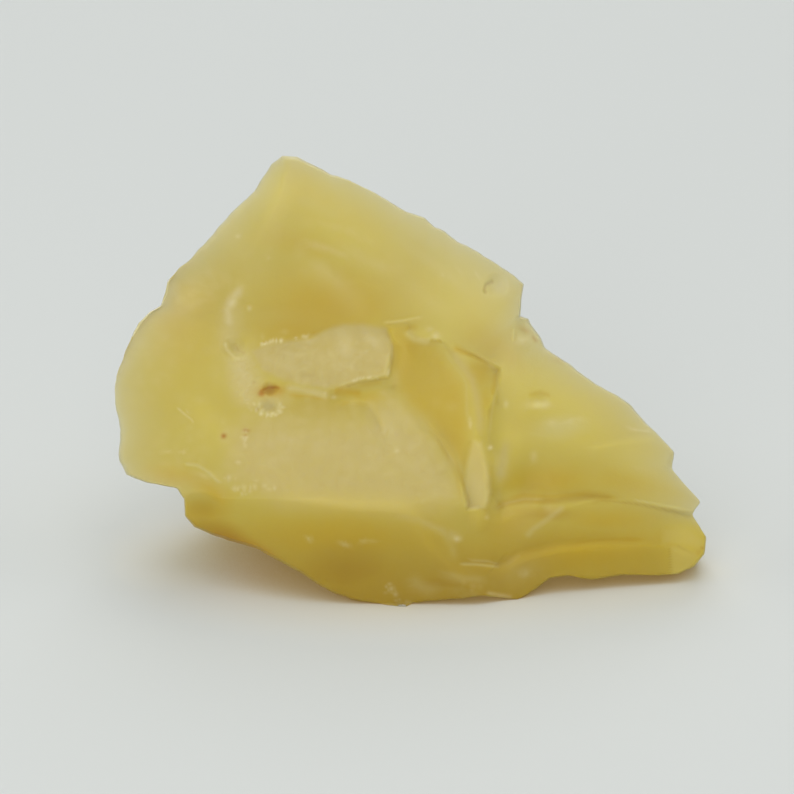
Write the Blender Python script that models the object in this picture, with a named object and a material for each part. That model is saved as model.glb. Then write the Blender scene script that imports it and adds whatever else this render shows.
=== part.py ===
"""Raw yellow opal: one broken lump of common opal, resting on its flattest fracture.

The stone is one piece, with one node. Its shape is set out the way a stone carver would
read it, from its broad broken face: u runs to the right along that face, v runs up it and
w stands out of it. The face leans back from upright by FACE_LEAN. A ball is moved out to the
stone: its equator takes the line where the broad face turns over to the back (RIM), its
near half takes the broad face, made of fractures, hollows, ledges and flakes, and its far
half takes the back, made of flat breaks and shell-shaped scoops.

Row frame: +X along the stone, +Y into it from the broad face, +Z up. The origin is on the
surface that the stone rests on, under the middle of its box. Tables are in millimetres,
and MM turns them into metres.
"""

import math

import bmesh
import bpy
import numpy as np
from mathutils import Vector, noise

MM = 0.001

# Driving dimensions, in millimetres
FACE_LEAN = 20.0  # degrees that the broad face's plane leans back from upright
FLOOR_DROP = 21.6  # from the middle of the broad face down to the floor
LEDGE = 0.6  # width over which a ledge drops
POCKET_WALL = 1.0  # width over which the trough's sides drop
SOFT_WALL = 2.4  # the same, where the trough fades out of the lower face
THICKENING = 0.45  # the least that the back falls away for each millimetre in from the rim
ROUNDING = 0.4  # how much of the rim's rounding falls on the broad face
BACK_ROUNDING = 1.6  # the same for the back
LEAST_THICKNESS = 0.5  # of the stone, measured out from the broad face
SKIN_WAVE = 0.22  # height of the slow waves that no fracture is free of
CHIP = 0.14  # height of the small chips along the rim
TRIANGLES = 9400
BALL_CUTS = 71  # odd, so that the ball has a ring of edges on its rim

# Where the broad face turns over to the back, clockwise from the stone's peak:
# (u, v, w, rounding radius)
RIM = [
    (-14.3, 29.6, -0.2, 2.0), (-12.5, 29.5, 0.0, 2.0), (-11.6, 29.0, 0.0, 1.8),
    (-8.5, 27.4, 0.1, 1.5), (-6.1, 26.7, 0.2, 1.4), (-3.9, 25.6, 0.2, 1.3),
    (-1.2, 24.0, 0.2, 1.2), (0.9, 22.7, 0.1, 1.1), (3.0, 22.0, 0.0, 1.1),
    (4.3, 20.9, 0.0, 1.1), (5.4, 20.4, 0.0, 1.1), (7.0, 19.1, -0.1, 1.1),
    (9.8, 17.6, -0.2, 1.1), (13.9, 15.1, -0.4, 1.1), (15.0, 14.0, -0.6, 1.1),
    (14.8, 12.9, -0.6, 0.8), (14.5, 10.1, -0.8, 0.7), (15.5, 9.8, -1.4, 0.8),
    (15.9, 9.1, -1.4, 0.9), (17.2, 7.4, -1.6, 1.1), (17.7, 6.4, -1.7, 1.2),
    (18.4, 5.8, -1.8, 1.3), (20.6, 4.4, -1.9, 1.4), (21.6, 3.4, -2.0, 1.4),
    (23.8, 1.9, -2.0, 1.4), (26.4, 0.5, -2.1, 1.5), (28.2, -0.8, -2.2, 1.4),
    (29.7, -2.6, -2.2, 1.2), (31.1, -3.9, -2.3, 1.1), (33.3, -6.3, -2.4, 0.9),
    (33.0, -8.4, -2.5, 0.8), (34.1, -9.7, -2.5, 0.8), (36.6, -12.4, -2.6, 0.7),
    (36.1, -13.2, -2.8, 0.7), (35.7, -14.0, -3.2, 0.7), (36.7, -15.6, -3.2, 0.9),
    (37.4, -16.8, -3.3, 1.1), (37.1, -18.8, -3.6, 1.2), (35.9, -20.2, -4.0, 1.3),
    (33.9, -21.2, -4.5, 1.2), (31.0, -21.3, -4.4, 1.1), (26.9, -21.3, -4.2, 1.1),
    (23.3, -21.9, -3.0, 1.0), (20.4, -21.3, -2.8, 1.0), (18.1, -21.7, -2.2, 1.0),
    (15.5, -23.4, 1.6, 0.9), (14.1, -23.9, 3.0, 0.8), (10.1, -23.6, 2.2, 0.8),
    (7.8, -24.0, 3.2, 0.8), (1.6, -24.4, 4.2, 0.8), (0.6, -24.9, 5.1, 0.9),
    (-1.5, -24.6, 4.7, 0.9), (-5.9, -24.0, 3.0, 1.1), (-9.0, -22.7, 1.2, 1.3),
    (-12.3, -20.8, 0.2, 1.5), (-17.0, -18.2, -0.5, 1.6), (-20.8, -17.0, -0.9, 1.5),
    (-25.0, -15.4, -1.3, 1.2), (-26.1, -14.0, -1.4, 1.0), (-26.2, -12.0, -0.8, 1.0),
    (-27.1, -10.7, 0.6, 1.0), (-30.9, -10.0, 1.0, 1.3), (-33.1, -9.0, 1.0, 1.6),
    (-33.9, -7.4, 0.9, 2.0), (-33.8, -3.6, 0.6, 3.0), (-34.5, -0.5, 0.4, 3.4),
    (-34.5, 2.9, 0.2, 3.2), (-33.3, 5.8, -0.1, 2.6), (-31.7, 9.3, -0.4, 1.8),
    (-30.3, 10.8, -0.7, 1.4), (-29.1, 11.4, -0.9, 1.2), (-28.1, 14.4, -0.9, 1.4),
    (-24.2, 18.5, -0.8, 2.0), (-20.6, 22.5, -0.6, 2.2), (-17.7, 25.3, -0.5, 2.2),
    (-15.6, 28.6, -0.3, 2.0),
]

# Lines and patches on the broad face, (u, v)
TAIL_LEDGE = [(7.0, -15.2), (11.0, -13.6), (12.9, -12.4), (16.5, -11.7), (17.2, -12.5), (19.1, -12.0),
              (24.0, -11.7), (28.4, -12.3), (33.6, -13.4), (38.0, -14.4)]
FOOT_LEDGE = [(5.0, -19.4), (7.0, -19.6), (11.6, -20.0), (12.9, -19.8), (14.5, -18.7), (19.1, -17.7),
              (24.6, -17.4), (31.0, -17.4), (36.0, -19.1), (39.0, -20.2)]
BLADE = [(5.2, 6.6), (6.1, 5.1), (7.0, 3.6), (7.9, 2.4), (8.3, 1.0), (8.6, -1.2), (8.7, -3.0),
         (9.0, -4.8), (9.4, -8.0), (9.6, -12.5)]
SLAB_EDGE = [(17.0, 10.2), (14.4, 9.9), (13.9, 6.8), (12.2, 3.6), (11.2, -2.0), (11.2, -16.0)]

POCKET = [
    (-1.5, 9.0), (0.9, 9.2), (1.3, 8.1), (2.1, 7.2), (4.3, 7.0), (5.7, 6.7), (8.5, 5.4), (10.6, 4.5),
    (12.0, 3.7), (11.8, 1.8), (11.2, -1.2), (11.6, -4.0), (12.4, -7.0), (12.6, -10.4), (11.6, -12.6),
    (10.4, -12.9), (8.1, -12.9), (7.7, -11.0), (7.4, -9.7), (6.3, -7.3), (4.0, -4.0), (2.0, -0.6),
    (-0.5, 1.9), (-0.9, 3.3), (-0.9, 6.4),
]  # the trough under the slab's lip, with the blade in it
FLAKE = [
    (-18.2, 6.0), (-17.0, 6.8), (-14.5, 7.1), (-10.7, 7.7), (-9.1, 8.7), (-6.1, 9.3), (-4.2, 9.2),
    (-1.6, 8.5), (-1.0, 6.7), (-1.1, 5.0), (-1.5, 2.8), (-4.6, 2.3), (-6.6, 1.8), (-8.2, 0.9),
    (-11.5, 1.5), (-14.5, 2.5), (-16.4, 3.5),
]  # the raised flake left in the middle of the face
GROOVE = [(-8.0, 0.5), (-5.5, 0.9), (-3.0, 1.6), (-0.9, 1.5)]  # under the flake

# Shell-shaped scoops, where a chip has sprung off: (u, v, ball's radius, depth)
FACE_SCOOPS = [
    (-24.0, -12.4, 8.0, 0.35),
    (16.9, 0.1, 3.6, 0.4),
    (-15.6, 1.4, 1.5, 0.4),
    (-15.8, -0.6, 2.0, 0.3),
    (-20.2, 6.4, 3.6, 0.3),
    (11.6, 13.8, 3.2, 0.3),
]
BACK_SCOOPS = [
    (4.0, 12.5, 52.0, 2.4),
    (19.0, -2.0, 40.0, 2.5),
    (-22.5, 9.0, 44.0, 2.0),
    (-27.0, -5.0, 24.0, 1.7),
    (-6.0, -6.0, 60.0, 2.2),
    (13.0, -12.0, 26.0, 1.6),
    (29.0, -11.0, 28.0, 1.8),
]

# Flat breaks of the back: a point (x, y, z) on each and its outward normal, both in the
# row frame as it stands before it is centred
BACK_BREAKS = [
    ((0.0, 21.0, 14.0), (0.34, 0.85, 0.40)),
    ((-20.0, 18.0, 12.0), (-0.56, 0.79, 0.26)),
    ((0.0, 20.0, 9.0), (-0.03, 0.93, -0.37)),
    ((28.0, 8.5, 4.0), (0.51, 0.79, 0.33)),
    ((-16.0, 0.0, 0.0), (-0.59, 0.08, -0.80)),
    ((0.0, 0.0, 0.0), (0.0, 0.0, -1.0)),
]
LEAN = math.radians(FACE_LEAN)
UP = np.array([0.0, math.sin(LEAN), math.cos(LEAN)])  # v's direction in the row frame
OUT = np.array([0.0, -math.cos(LEAN), math.sin(LEAN)])  # w's direction in the row frame


def clear_scene():
    """Removes the objects that Blender starts with."""
    for obj in list(bpy.data.objects):
        bpy.data.objects.remove(obj, do_unlink=True)


def fade(x):
    """0 below 0, 1 above 1 and a smooth step between."""
    x = np.clip(x, 0.0, 1.0)
    return x * x * (3.0 - 2.0 * x)


def lower(a, b, blend):
    """The lower of two surfaces, with their arris rounded over about blend."""
    share = np.clip(0.5 + 0.5 * (b - a) / blend, 0.0, 1.0)
    return b + (a - b) * share - blend * share * (1.0 - share)


def higher(a, b, blend):
    """The higher of two surfaces, with their valley filled over about blend."""
    return -lower(-a, -b, blend)


def mix(a, b, share):
    """From a to b by that share."""
    return a + (b - a) * share


def plane(u, v, at, tilt):
    """A flat break through at = (u, v, w) that rises by tilt = (per u, per v)."""
    return at[2] + tilt[0] * (u - at[0]) + tilt[1] * (v - at[1])


def off_line(u, v, line):
    """Signed distance from a line, positive on its left, and the way along it from 0 to 1."""
    line = np.array(line, float)
    best = np.full(u.shape, np.inf)
    side = np.zeros(u.shape)
    along = np.zeros(u.shape)
    lengths = np.hypot(*np.diff(line, axis=0).T)
    starts = np.concatenate([[0.0], np.cumsum(lengths)])
    for (a, b), length, start in zip(zip(line[:-1], line[1:]), lengths, starts):
        du, dv = (b - a) / length
        reach = np.clip((u - a[0]) * du + (v - a[1]) * dv, 0.0, length)
        gap = np.hypot(u - a[0] - reach * du, v - a[1] - reach * dv)
        near = gap < best
        left = np.sign(du * (v - a[1]) - dv * (u - a[0]))
        best = np.where(near, gap, best)
        side = np.where(near, left, side)
        along = np.where(near, (start + reach) / starts[-1], along)
    return best * side, along


def inside(u, v, patch):
    """Signed distance from a closed outline, positive inside it."""
    ring = np.array([*patch, patch[0]], float)
    gap = np.abs(off_line(u, v, ring)[0])
    crossed = np.zeros(u.shape, bool)
    for a, b in zip(ring[:-1], ring[1:]):
        spans = (a[1] > v) != (b[1] > v)
        cut = a[0] + (v - a[1]) * (b[0] - a[0]) / (b[1] - a[1] if b[1] != a[1] else 1.0)
        crossed ^= spans & (u < cut)
    return np.where(crossed, gap, -gap)


def over_ledge(distance, width=LEDGE):
    """1 well on the positive side of an edge, 0 on the other."""
    return fade(0.5 + 0.5 * distance / width)


def bowl(u, v, lowest, along, reach, across):
    """A shell-shaped hollow: its lowest point (u, v, w), the angle of its long way and its radii."""
    turn = math.radians(along)
    far = (u - lowest[0]) * math.cos(turn) + (v - lowest[1]) * math.sin(turn)
    side = (v - lowest[1]) * math.cos(turn) - (u - lowest[0]) * math.sin(turn)
    return lowest[2] + far**2 / (2 * reach) + side**2 / (2 * across)


def slab(u, v):
    """The upper face: a brow along the two top edges, over two hollows that meet in a soft ridge."""
    brow = 3.0 - ((u * 0.5 + v * 0.87 - 15.0) ** 2) / 120 - (u - 2.0) ** 2 / 420
    lip = 0.5 * np.exp(-(((u - 10.5) / 4.0) ** 2) - ((v - 5.0) / 3.0) ** 2)
    big = bowl(u, v, (-9.1, 9.1, 0.8), 0.0, 36.0, 34.0)
    small = bowl(u, v, (-3.4, 13.0, 0.9), 147.0, 44.0, 15.0)
    return lower(lower(big, small, 0.4), brow - lip, 2.4)


def left_mass(u, v):
    """The bulging left end."""
    fall = np.clip(-21.0 - u, 0.0, None) ** 2 / 52 + (v + 2.0) ** 2 / 160
    return 4.5 - fall + np.clip(u + 20.0, 0.0, None) ** 2 / 10


def front(u, v):
    """The lower face, which slopes out to the body's ridge."""
    face = plane(u, v, (-4.0, -11.8, 10.1), (0.02, -0.47))
    left = plane(u, v, (-16.0, -8.0, 8.6), (0.36, -0.20))
    right = plane(u, v, (0.6, -11.8, 10.1), (-0.26, -0.40))
    return lower(lower(face, left, 2.0), right, 0.9)


def body_foot(u, v):
    """The breaks that turn under from the body's ridge down to the floor."""
    drop = np.clip(-11.8 - v, 0.0, None)
    middle = 10.8 + 0.02 * u - 0.34 * drop - 0.013 * drop**2
    left = middle + 0.34 * (u + 9.5)
    saddle = plane(u, v, (0.8, -12.5, 10.5), (-0.36, 0.18))
    return lower(lower(middle, left, 1.6), saddle, 0.4)


def block(u, v):
    """The right-hand block, pale on top and turning under to the tail's ledge."""
    low_top = plane(u, v, (12.7, 0.0, 3.6), (-0.20, -0.33))
    high_top = plane(u, v, (13.0, 4.0, 2.8), (-0.16, -0.10))
    under = plane(u, v, (18.0, -7.0, 5.1), (-0.14, 0.17))
    tip = plane(u, v, (26.0, -5.2, 2.9), (-0.16, 0.08))
    dip = 0.6 * np.exp(-(((u - 14.8) / 3.4) ** 2) - ((v + 9.4) / 2.6) ** 2)
    return lower(lower(higher(low_top, high_top, 1.5), under, 1.8), tip, 0.4) - dip


def tail(u, v):
    """The band under the tail's ledge, and the foot under that."""
    band = plane(u, v, (18.0, -13.0, 4.6), (-0.24, 0.10))
    streak, _ = off_line(u, v, [(13.3, -17.6), (17.6, -12.7)])
    band = band - 0.05 * np.clip(-streak, 0.0, 3.0) ** 1.5
    distance, _ = off_line(u, v, FOOT_LEDGE)
    fading = 1.0 - fade((u - 22.0) / 12.0)
    groove = 0.5 * fading * np.exp(-((np.clip(distance, 0.0, None) / 2.2) ** 1.6))
    foot = band + 0.1 * fading + 0.30 * np.clip(distance, None, 0.0)
    return mix(foot, band - groove, over_ledge(distance, 1.0))


def pocket(u, v):
    """The trough and its blade, which end in a tongue, and the deep-cornered hollow to their right."""
    below = 6.7 - v
    crest = 1.7 + 0.42 * below - 0.03 * np.clip(below - 10.0, 0.0, None) ** 2
    distance, along = off_line(u, v, BLADE)
    trough = crest - (0.55 - 0.2 * along) * (1.0 - np.exp(-((distance / 2.4) ** 2)))
    trough = trough + 1.2 * fade((v - 0.5) / 6.0) * fade((5.0 - u) / 5.0)
    tongue = fade((-4.0 - v) / 3.0)
    beyond = np.clip(distance - 0.8 * tongue, 0.0, None)
    hollow = block(u, v) - 1.1 * fade((v + 1.5) / 5.5)
    right = hollow + (crest - hollow) * np.exp(-((beyond / 1.25) ** 1.6))
    return mix(trough, right, over_ledge(distance, 0.5))


def flake(u, v):
    """The raised flake, which rises out of the upper hollow and breaks off over a groove."""
    sinking = 0.8 * fade((-7.5 - u) / 8.0)
    return plane(u, v, (-8.0, 8.8, 1.35), (0.04, -0.38)) - 0.03 * (v - 4.5) ** 2 - sinking


def broad_face(u, v):
    """How far the broad face stands out at each (u, v)."""
    body = higher(front(u, v), lower(left_mass(u, v), slab(u, v), 1.0), 1.6)
    across, _ = off_line(u, v, SLAB_EDGE)
    upper = mix(body, block(u, v), over_ledge(across, np.clip(4.5 - 0.4 * v, 0.6, 4.0)))
    ledge, _ = off_line(u, v, TAIL_LEDGE)
    foot = mix(body_foot(u, v), tail(u, v), fade((u - 9.0) / 4.0))
    left_side = lower(upper, body_foot(u, v), 0.7)
    right_side = mix(foot, upper, over_ledge(ledge))
    face = mix(left_side, right_side, fade((u - 8.0) / 2.5))
    crisp = np.maximum(fade((u - 4.5) / 2.0), np.maximum(fade((-3.0 - v) / 1.5), fade((v - 6.0) / 1.5)))
    crisp = crisp * (1.0 - fade((u - 10.0) / 1.0) * fade(-v / 2.0))
    wall = mix(SOFT_WALL, POCKET_WALL, crisp)
    face = mix(face, pocket(u, v), over_ledge(inside(u, v, POCKET), wall))
    groove, _ = off_line(u, v, GROOVE)
    face = face - 0.2 * np.exp(-((groove / 0.8) ** 2))
    return mix(face, higher(face, flake(u, v), 0.3), over_ledge(inside(u, v, FLAKE)))


def scooped(form, u, v, scoops, sense):
    """A form with balls sunk into it: sense is 1 for the broad face and -1 for the back."""
    surface = form(u, v)
    for at_u, at_v, radius, depth in scoops:
        near_u = np.array([at_u, at_u + 0.5, at_u])
        near_v = np.array([at_v, at_v, at_v + 0.5])
        here, right, over = form(near_u, near_v)
        normal = np.array([(here - right) / 0.5, (here - over) / 0.5, 1.0]) * sense
        middle = np.array([at_u, at_v, here]) + normal / np.linalg.norm(normal) * (radius - depth)
        chord = radius**2 - (u - middle[0]) ** 2 - (v - middle[1]) ** 2
        bite = middle[2] - sense * np.sqrt(np.clip(chord, 0.0, None))
        cut = sense * lower(sense * surface, sense * bite, 0.25)
        surface = np.where(chord > 0, cut, surface)
    return surface


def back(u, v):
    """How far the back stands out (below 0) at each (u, v)."""
    surface = np.full(u.shape, -np.inf)
    for point, normal in BACK_BREAKS:
        normal = np.array(normal, float)
        rise = np.array([normal[0], normal @ UP, normal @ OUT])
        start = np.array([0.0, 0.0, FLOOR_DROP])
        level = (normal @ (np.array(point) - start) - rise[0] * u - rise[1] * v) / rise[2]
        surface = level if np.isinf(surface).all() else higher(surface, level, 0.8)
    return surface


def rim_at(angle):
    """The rim's u, v, w and rounding where a ray from the middle at each angle meets it."""
    rim = np.array(RIM[::-1])
    bearing = np.unwrap(np.arctan2(rim[:, 1], rim[:, 0]))
    rim = np.vstack([rim, rim[0]])
    bearing = np.append(bearing, bearing[0] + 2 * math.pi)
    angle = bearing[0] + np.mod(angle - bearing[0], 2 * math.pi)
    i = np.clip(np.searchsorted(bearing, angle, side="right") - 1, 0, len(RIM) - 1)
    ray = np.stack([np.cos(angle), np.sin(angle)], axis=1)
    start, end = rim[i], rim[i + 1]
    before = start[:, 0] * ray[:, 1] - start[:, 1] * ray[:, 0]
    after = end[:, 0] * ray[:, 1] - end[:, 1] * ray[:, 0]
    share = (before / (before - after))[:, None]
    return start + (end - start) * share


def turned_over(surface, rim_w, inset, radius):
    """The surface brought to the rim over a quarter round of that radius."""
    share = np.clip(inset / radius, 0.0, 1.0)
    return rim_w + (surface - rim_w) * np.sqrt(1.0 - (1.0 - share) ** 2)


def waves(places, size, seed):
    """Smooth noise from -1 to 1 with that wavelength, in millimetres."""
    shift = Vector((seed * 17.3, seed * 5.1, seed * 9.7))
    return np.array([noise.noise(Vector(p) / size + shift) for p in places])


def stone_places(ball):
    """Each point of a unit ball moved to its place on the stone, in millimetres."""
    outward = ball[:, 1]
    spread = np.sqrt(1.0 - np.abs(outward))
    angle = np.arctan2(ball[:, 2], ball[:, 0])
    rim = rim_at(angle)
    chips = CHIP * waves(rim[:, :3], 2.6, 1) + CHIP * waves(rim[:, :3], 6.0, 2)
    reach = np.hypot(rim[:, 0], rim[:, 1]) + chips
    u = spread * reach * np.cos(angle)
    v = spread * reach * np.sin(angle)
    inset = (1.0 - spread) * reach
    broad = scooped(broad_face, u, v, FACE_SCOOPS, 1.0)
    behind = scooped(back, u, v, BACK_SCOOPS, -1.0)
    near = turned_over(broad, rim[:, 2], inset, ROUNDING * rim[:, 3])
    behind = np.minimum(lower(behind, rim[:, 2] - THICKENING * inset, 1.0), near - LEAST_THICKNESS)
    far = turned_over(behind, rim[:, 2], inset, BACK_ROUNDING * rim[:, 3])
    w = np.where(outward < 0, near, far)
    places = np.outer(u, [1.0, 0.0, 0.0]) + np.outer(v, UP) + np.outer(w, OUT)
    places[:, 2] += FLOOR_DROP
    places += ball * (SKIN_WAVE * waves(places, 7.0, 3))[:, None]
    places[:, 2] = np.maximum(places[:, 2], 0.0)
    return places


def opal_material():
    """Waxy translucent yellow opal."""
    material = bpy.data.materials.new("yellow_opal")
    material.use_nodes = True
    shader = material.node_tree.nodes["Principled BSDF"]
    shader.inputs["Base Color"].default_value = (0.56, 0.45, 0.12, 1.0)
    shader.inputs["Roughness"].default_value = 0.38
    shader.inputs["Metallic"].default_value = 0.0
    return material


def ball_mesh(name):
    """A unit ball from a subdivided cube, so that a ring of its edges runs along the rim."""
    bm = bmesh.new()
    bmesh.ops.create_cube(bm, size=2.0)
    bmesh.ops.subdivide_edges(bm, edges=bm.edges[:], cuts=BALL_CUTS, use_grid_fill=True)
    for vert in bm.verts:
        vert.co = Vector([math.tan(c * math.pi / 4) for c in vert.co]).normalized()
    bmesh.ops.triangulate(bm, faces=bm.faces[:])
    mesh = bpy.data.meshes.new(name)
    bm.to_mesh(mesh)
    bm.free()
    return mesh


def opal_stone():
    """The stone: a ball moved out to its fractures, thinned to few triangles."""
    mesh = ball_mesh("opal_stone")
    ball = np.empty(len(mesh.vertices) * 3)
    mesh.vertices.foreach_get("co", ball)
    places = stone_places(ball.reshape(-1, 3)) * MM
    middle = (places.min(axis=0) + places.max(axis=0)) / 2
    places -= [middle[0], middle[1], 0.0]
    mesh.vertices.foreach_set("co", places.ravel())
    mesh.update()
    stone = bpy.data.objects.new("opal_stone", mesh)
    thin = stone.modifiers.new("thin", "DECIMATE")
    thin.ratio = TRIANGLES / len(mesh.polygons)
    mesh.materials.append(opal_material())
    return stone


def main():
    clear_scene()
    collection = bpy.data.collections.new("raw_yellow_opal")
    bpy.context.scene.collection.children.link(collection)
    stone = opal_stone()
    collection.objects.link(stone)
    stone.data.shade_smooth()


main()
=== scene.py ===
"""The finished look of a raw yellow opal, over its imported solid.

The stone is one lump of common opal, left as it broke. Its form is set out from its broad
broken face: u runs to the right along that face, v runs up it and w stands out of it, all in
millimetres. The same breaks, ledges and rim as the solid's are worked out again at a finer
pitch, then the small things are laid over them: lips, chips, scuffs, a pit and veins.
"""

import logging
import math
from collections.abc import Callable, Mapping
from dataclasses import dataclass, field
from enum import Enum

import bmesh
import bpy
import numpy as np
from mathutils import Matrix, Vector, noise


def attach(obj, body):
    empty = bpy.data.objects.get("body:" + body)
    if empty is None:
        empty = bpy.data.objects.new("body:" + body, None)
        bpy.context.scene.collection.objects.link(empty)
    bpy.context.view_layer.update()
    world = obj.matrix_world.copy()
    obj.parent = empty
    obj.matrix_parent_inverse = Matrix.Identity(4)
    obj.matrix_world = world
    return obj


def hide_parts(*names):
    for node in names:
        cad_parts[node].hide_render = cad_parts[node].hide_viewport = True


Array = np.ndarray
Points = tuple[tuple[float, float], ...]
Surface = Callable[[Array, Array], Array]

MM = 0.001
log = logging.getLogger("opal")

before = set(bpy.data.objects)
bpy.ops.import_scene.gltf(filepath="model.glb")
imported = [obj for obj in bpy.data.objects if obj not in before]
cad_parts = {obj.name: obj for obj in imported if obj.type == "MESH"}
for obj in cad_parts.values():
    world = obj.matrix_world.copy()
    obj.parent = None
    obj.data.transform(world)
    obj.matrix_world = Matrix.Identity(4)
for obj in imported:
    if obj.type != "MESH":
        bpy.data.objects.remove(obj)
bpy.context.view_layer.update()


class Tone(Enum):
    """The tones laid over the stone's own yellow; glow, amber, deep and pale are mostly painted light and
    shade. Each is an attribute of its mesh, from 0 to 1.
    """

    GLOW = "glow"  # painted glow, where light comes through thin stone; random clouds of it on the back
    AMBER = "amber"  # painted amber, where light gathers and shade falls in hollows and creases; random clouds of it on the back
    DEEP = "deep"  # painted shade: darker amber under overhangs, in dents and creases and where the stone turns under
    PALE = "pale"  # painted light along edges and lips, where there is little stone to colour the light; elsewhere pale veils and spots
    FROST = "frost"  # grainy breaks
    CHALK = "chalk"  # bruised and crumbled stone
    RUST = "rust"  # iron stain
    THIN = "thin"  # stone near the rim, with little room inside for light to wander


class Side(Enum):
    """Which way out of the stone a surface faces: its broad face's way or the other."""

    BROAD = 1.0
    BACK = -1.0


# Shaping


def fade(x: Array) -> Array:
    """0 below 0, 1 above 1 and a smooth step between."""
    x = np.clip(x, 0.0, 1.0)
    return x * x * (3.0 - 2.0 * x)


def lower(a: Array, b: Array, blend: float) -> Array:
    """The lower of two surfaces, with their arris rounded over about blend."""
    share = np.clip(0.5 + 0.5 * (b - a) / blend, 0.0, 1.0)
    return b + (a - b) * share - blend * share * (1.0 - share)


def higher(a: Array, b: Array, blend: float) -> Array:
    """The higher of two surfaces, with their valley filled over about blend."""
    return -lower(-a, -b, blend)


def mix(a: Array, b: Array, share: Array) -> Array:
    """The way from a to b, by share."""
    return a + (b - a) * share


def over_ledge(distance: Array, width: float) -> Array:
    """1 well on the positive side of an edge and 0 on the other, changing over width."""
    return fade(0.5 + 0.5 * distance / width)


def plane(u: Array, v: Array, at: tuple[float, float, float], tilt: tuple[float, float]) -> Array:
    """A flat break.

    Args:
        u: Places along the broad face.
        v: Places up it.
        at: A point (u, v, w) on the break.
        tilt: How much it rises for each millimetre along u and along v.

    Returns:
        How far it stands out at each place.
    """
    return at[2] + tilt[0] * (u - at[0]) + tilt[1] * (v - at[1])


def bowl(
    u: Array, v: Array, lowest: tuple[float, float, float], along: float, reach: float, across: float
) -> Array:
    """A shell-shaped hollow.

    Args:
        u: Places along the broad face.
        v: Places up it.
        lowest: The hollow's lowest point (u, v, w).
        along: The angle of its long way, in degrees.
        reach: Its radius along that way.
        across: Its radius across it.

    Returns:
        How far it stands out at each place.
    """
    turn = math.radians(along)
    far = (u - lowest[0]) * math.cos(turn) + (v - lowest[1]) * math.sin(turn)
    side = (v - lowest[1]) * math.cos(turn) - (u - lowest[0]) * math.sin(turn)
    return lowest[2] + far**2 / (2 * reach) + side**2 / (2 * across)


def off_line(u: Array, v: Array, line: Points) -> tuple[Array, Array]:
    """Measures places against a line of points.

    Args:
        u: Places along the broad face.
        v: Places up it.
        line: The line's points.

    Returns:
        The distance from the line, positive on its left, and the way along it from 0 to 1.
    """
    points = np.array(line, float)
    lengths = np.hypot(*np.diff(points, axis=0).T)
    starts = np.concatenate([[0.0], np.cumsum(lengths)])
    best = np.full(u.shape, np.inf)
    side = np.zeros(u.shape)
    along = np.zeros(u.shape)
    for a, b, length, start in zip(points[:-1], points[1:], lengths, starts):
        du, dv = (b - a) / length
        reach = np.clip((u - a[0]) * du + (v - a[1]) * dv, 0.0, length)
        gap = np.hypot(u - a[0] - reach * du, v - a[1] - reach * dv)
        near = gap < best
        left = np.sign(du * (v - a[1]) - dv * (u - a[0]))
        best = np.where(near, gap, best)
        side = np.where(near, left, side)
        along = np.where(near, (start + reach) / starts[-1], along)
    return best * side, along


def inside(u: Array, v: Array, patch: Points) -> Array:
    """Measures places against a closed outline.

    Args:
        u: Places along the broad face.
        v: Places up it.
        patch: The outline's corners.

    Returns:
        The distance in from the outline, negative outside it.
    """
    ring = np.array([*patch, patch[0]], float)
    gap = np.abs(off_line(u, v, ring)[0])
    crossed = np.zeros(u.shape, bool)
    for a, b in zip(ring[:-1], ring[1:]):
        spans = (a[1] > v) != (b[1] > v)
        cut = a[0] + (v - a[1]) * (b[0] - a[0]) / (b[1] - a[1] if b[1] != a[1] else 1.0)
        crossed ^= spans & (u < cut)
    return np.where(crossed, gap, -gap)


def waves(places: Array, size: float, seed: float) -> Array:
    """Smooth noise.

    Args:
        places: Points, in millimetres, one a row.
        size: The waves' length, in millimetres.
        seed: Which noise.

    Returns:
        A height from -1 to 1 for each point.
    """
    shift = np.array([seed * 17.3, seed * 5.1, seed * 9.7])
    return np.array([noise.noise(Vector(p)) for p in places / size + shift])


# What is laid over the breaks


@dataclass(frozen=True, kw_only=True)
class Mark:
    """Something small on the broad face.

    rise is how far it stands out at its strongest, in millimetres, and the rest is how much of
    each tone it lays down there, from 0 to 1.
    """

    rise: float = 0.0
    glow: float = 0.0
    amber: float = 0.0
    deep: float = 0.0
    pale: float = 0.0
    frost: float = 0.0
    chalk: float = 0.0
    rust: float = 0.0

    @property
    def shapes(self) -> bool:
        """Whether the mark moves the surface at all."""
        return self.rise != 0.0

    def strength(self, tone: Tone) -> float:
        """How much of a tone the mark lays down at its strongest."""
        return getattr(self, tone.value, 0.0)

    def cover(self, u: Array, v: Array) -> Array:
        """How strong the mark is.

        Args:
            u: Places along the broad face.
            v: Places up it.

        Returns:
            The mark's strength at each place, from 0 to 1.
        """
        raise NotImplementedError

    def relief(self, u: Array, v: Array) -> Array:
        """How far the mark raises each place (u, v), in millimetres."""
        return self.rise * self.cover(u, v)


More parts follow.
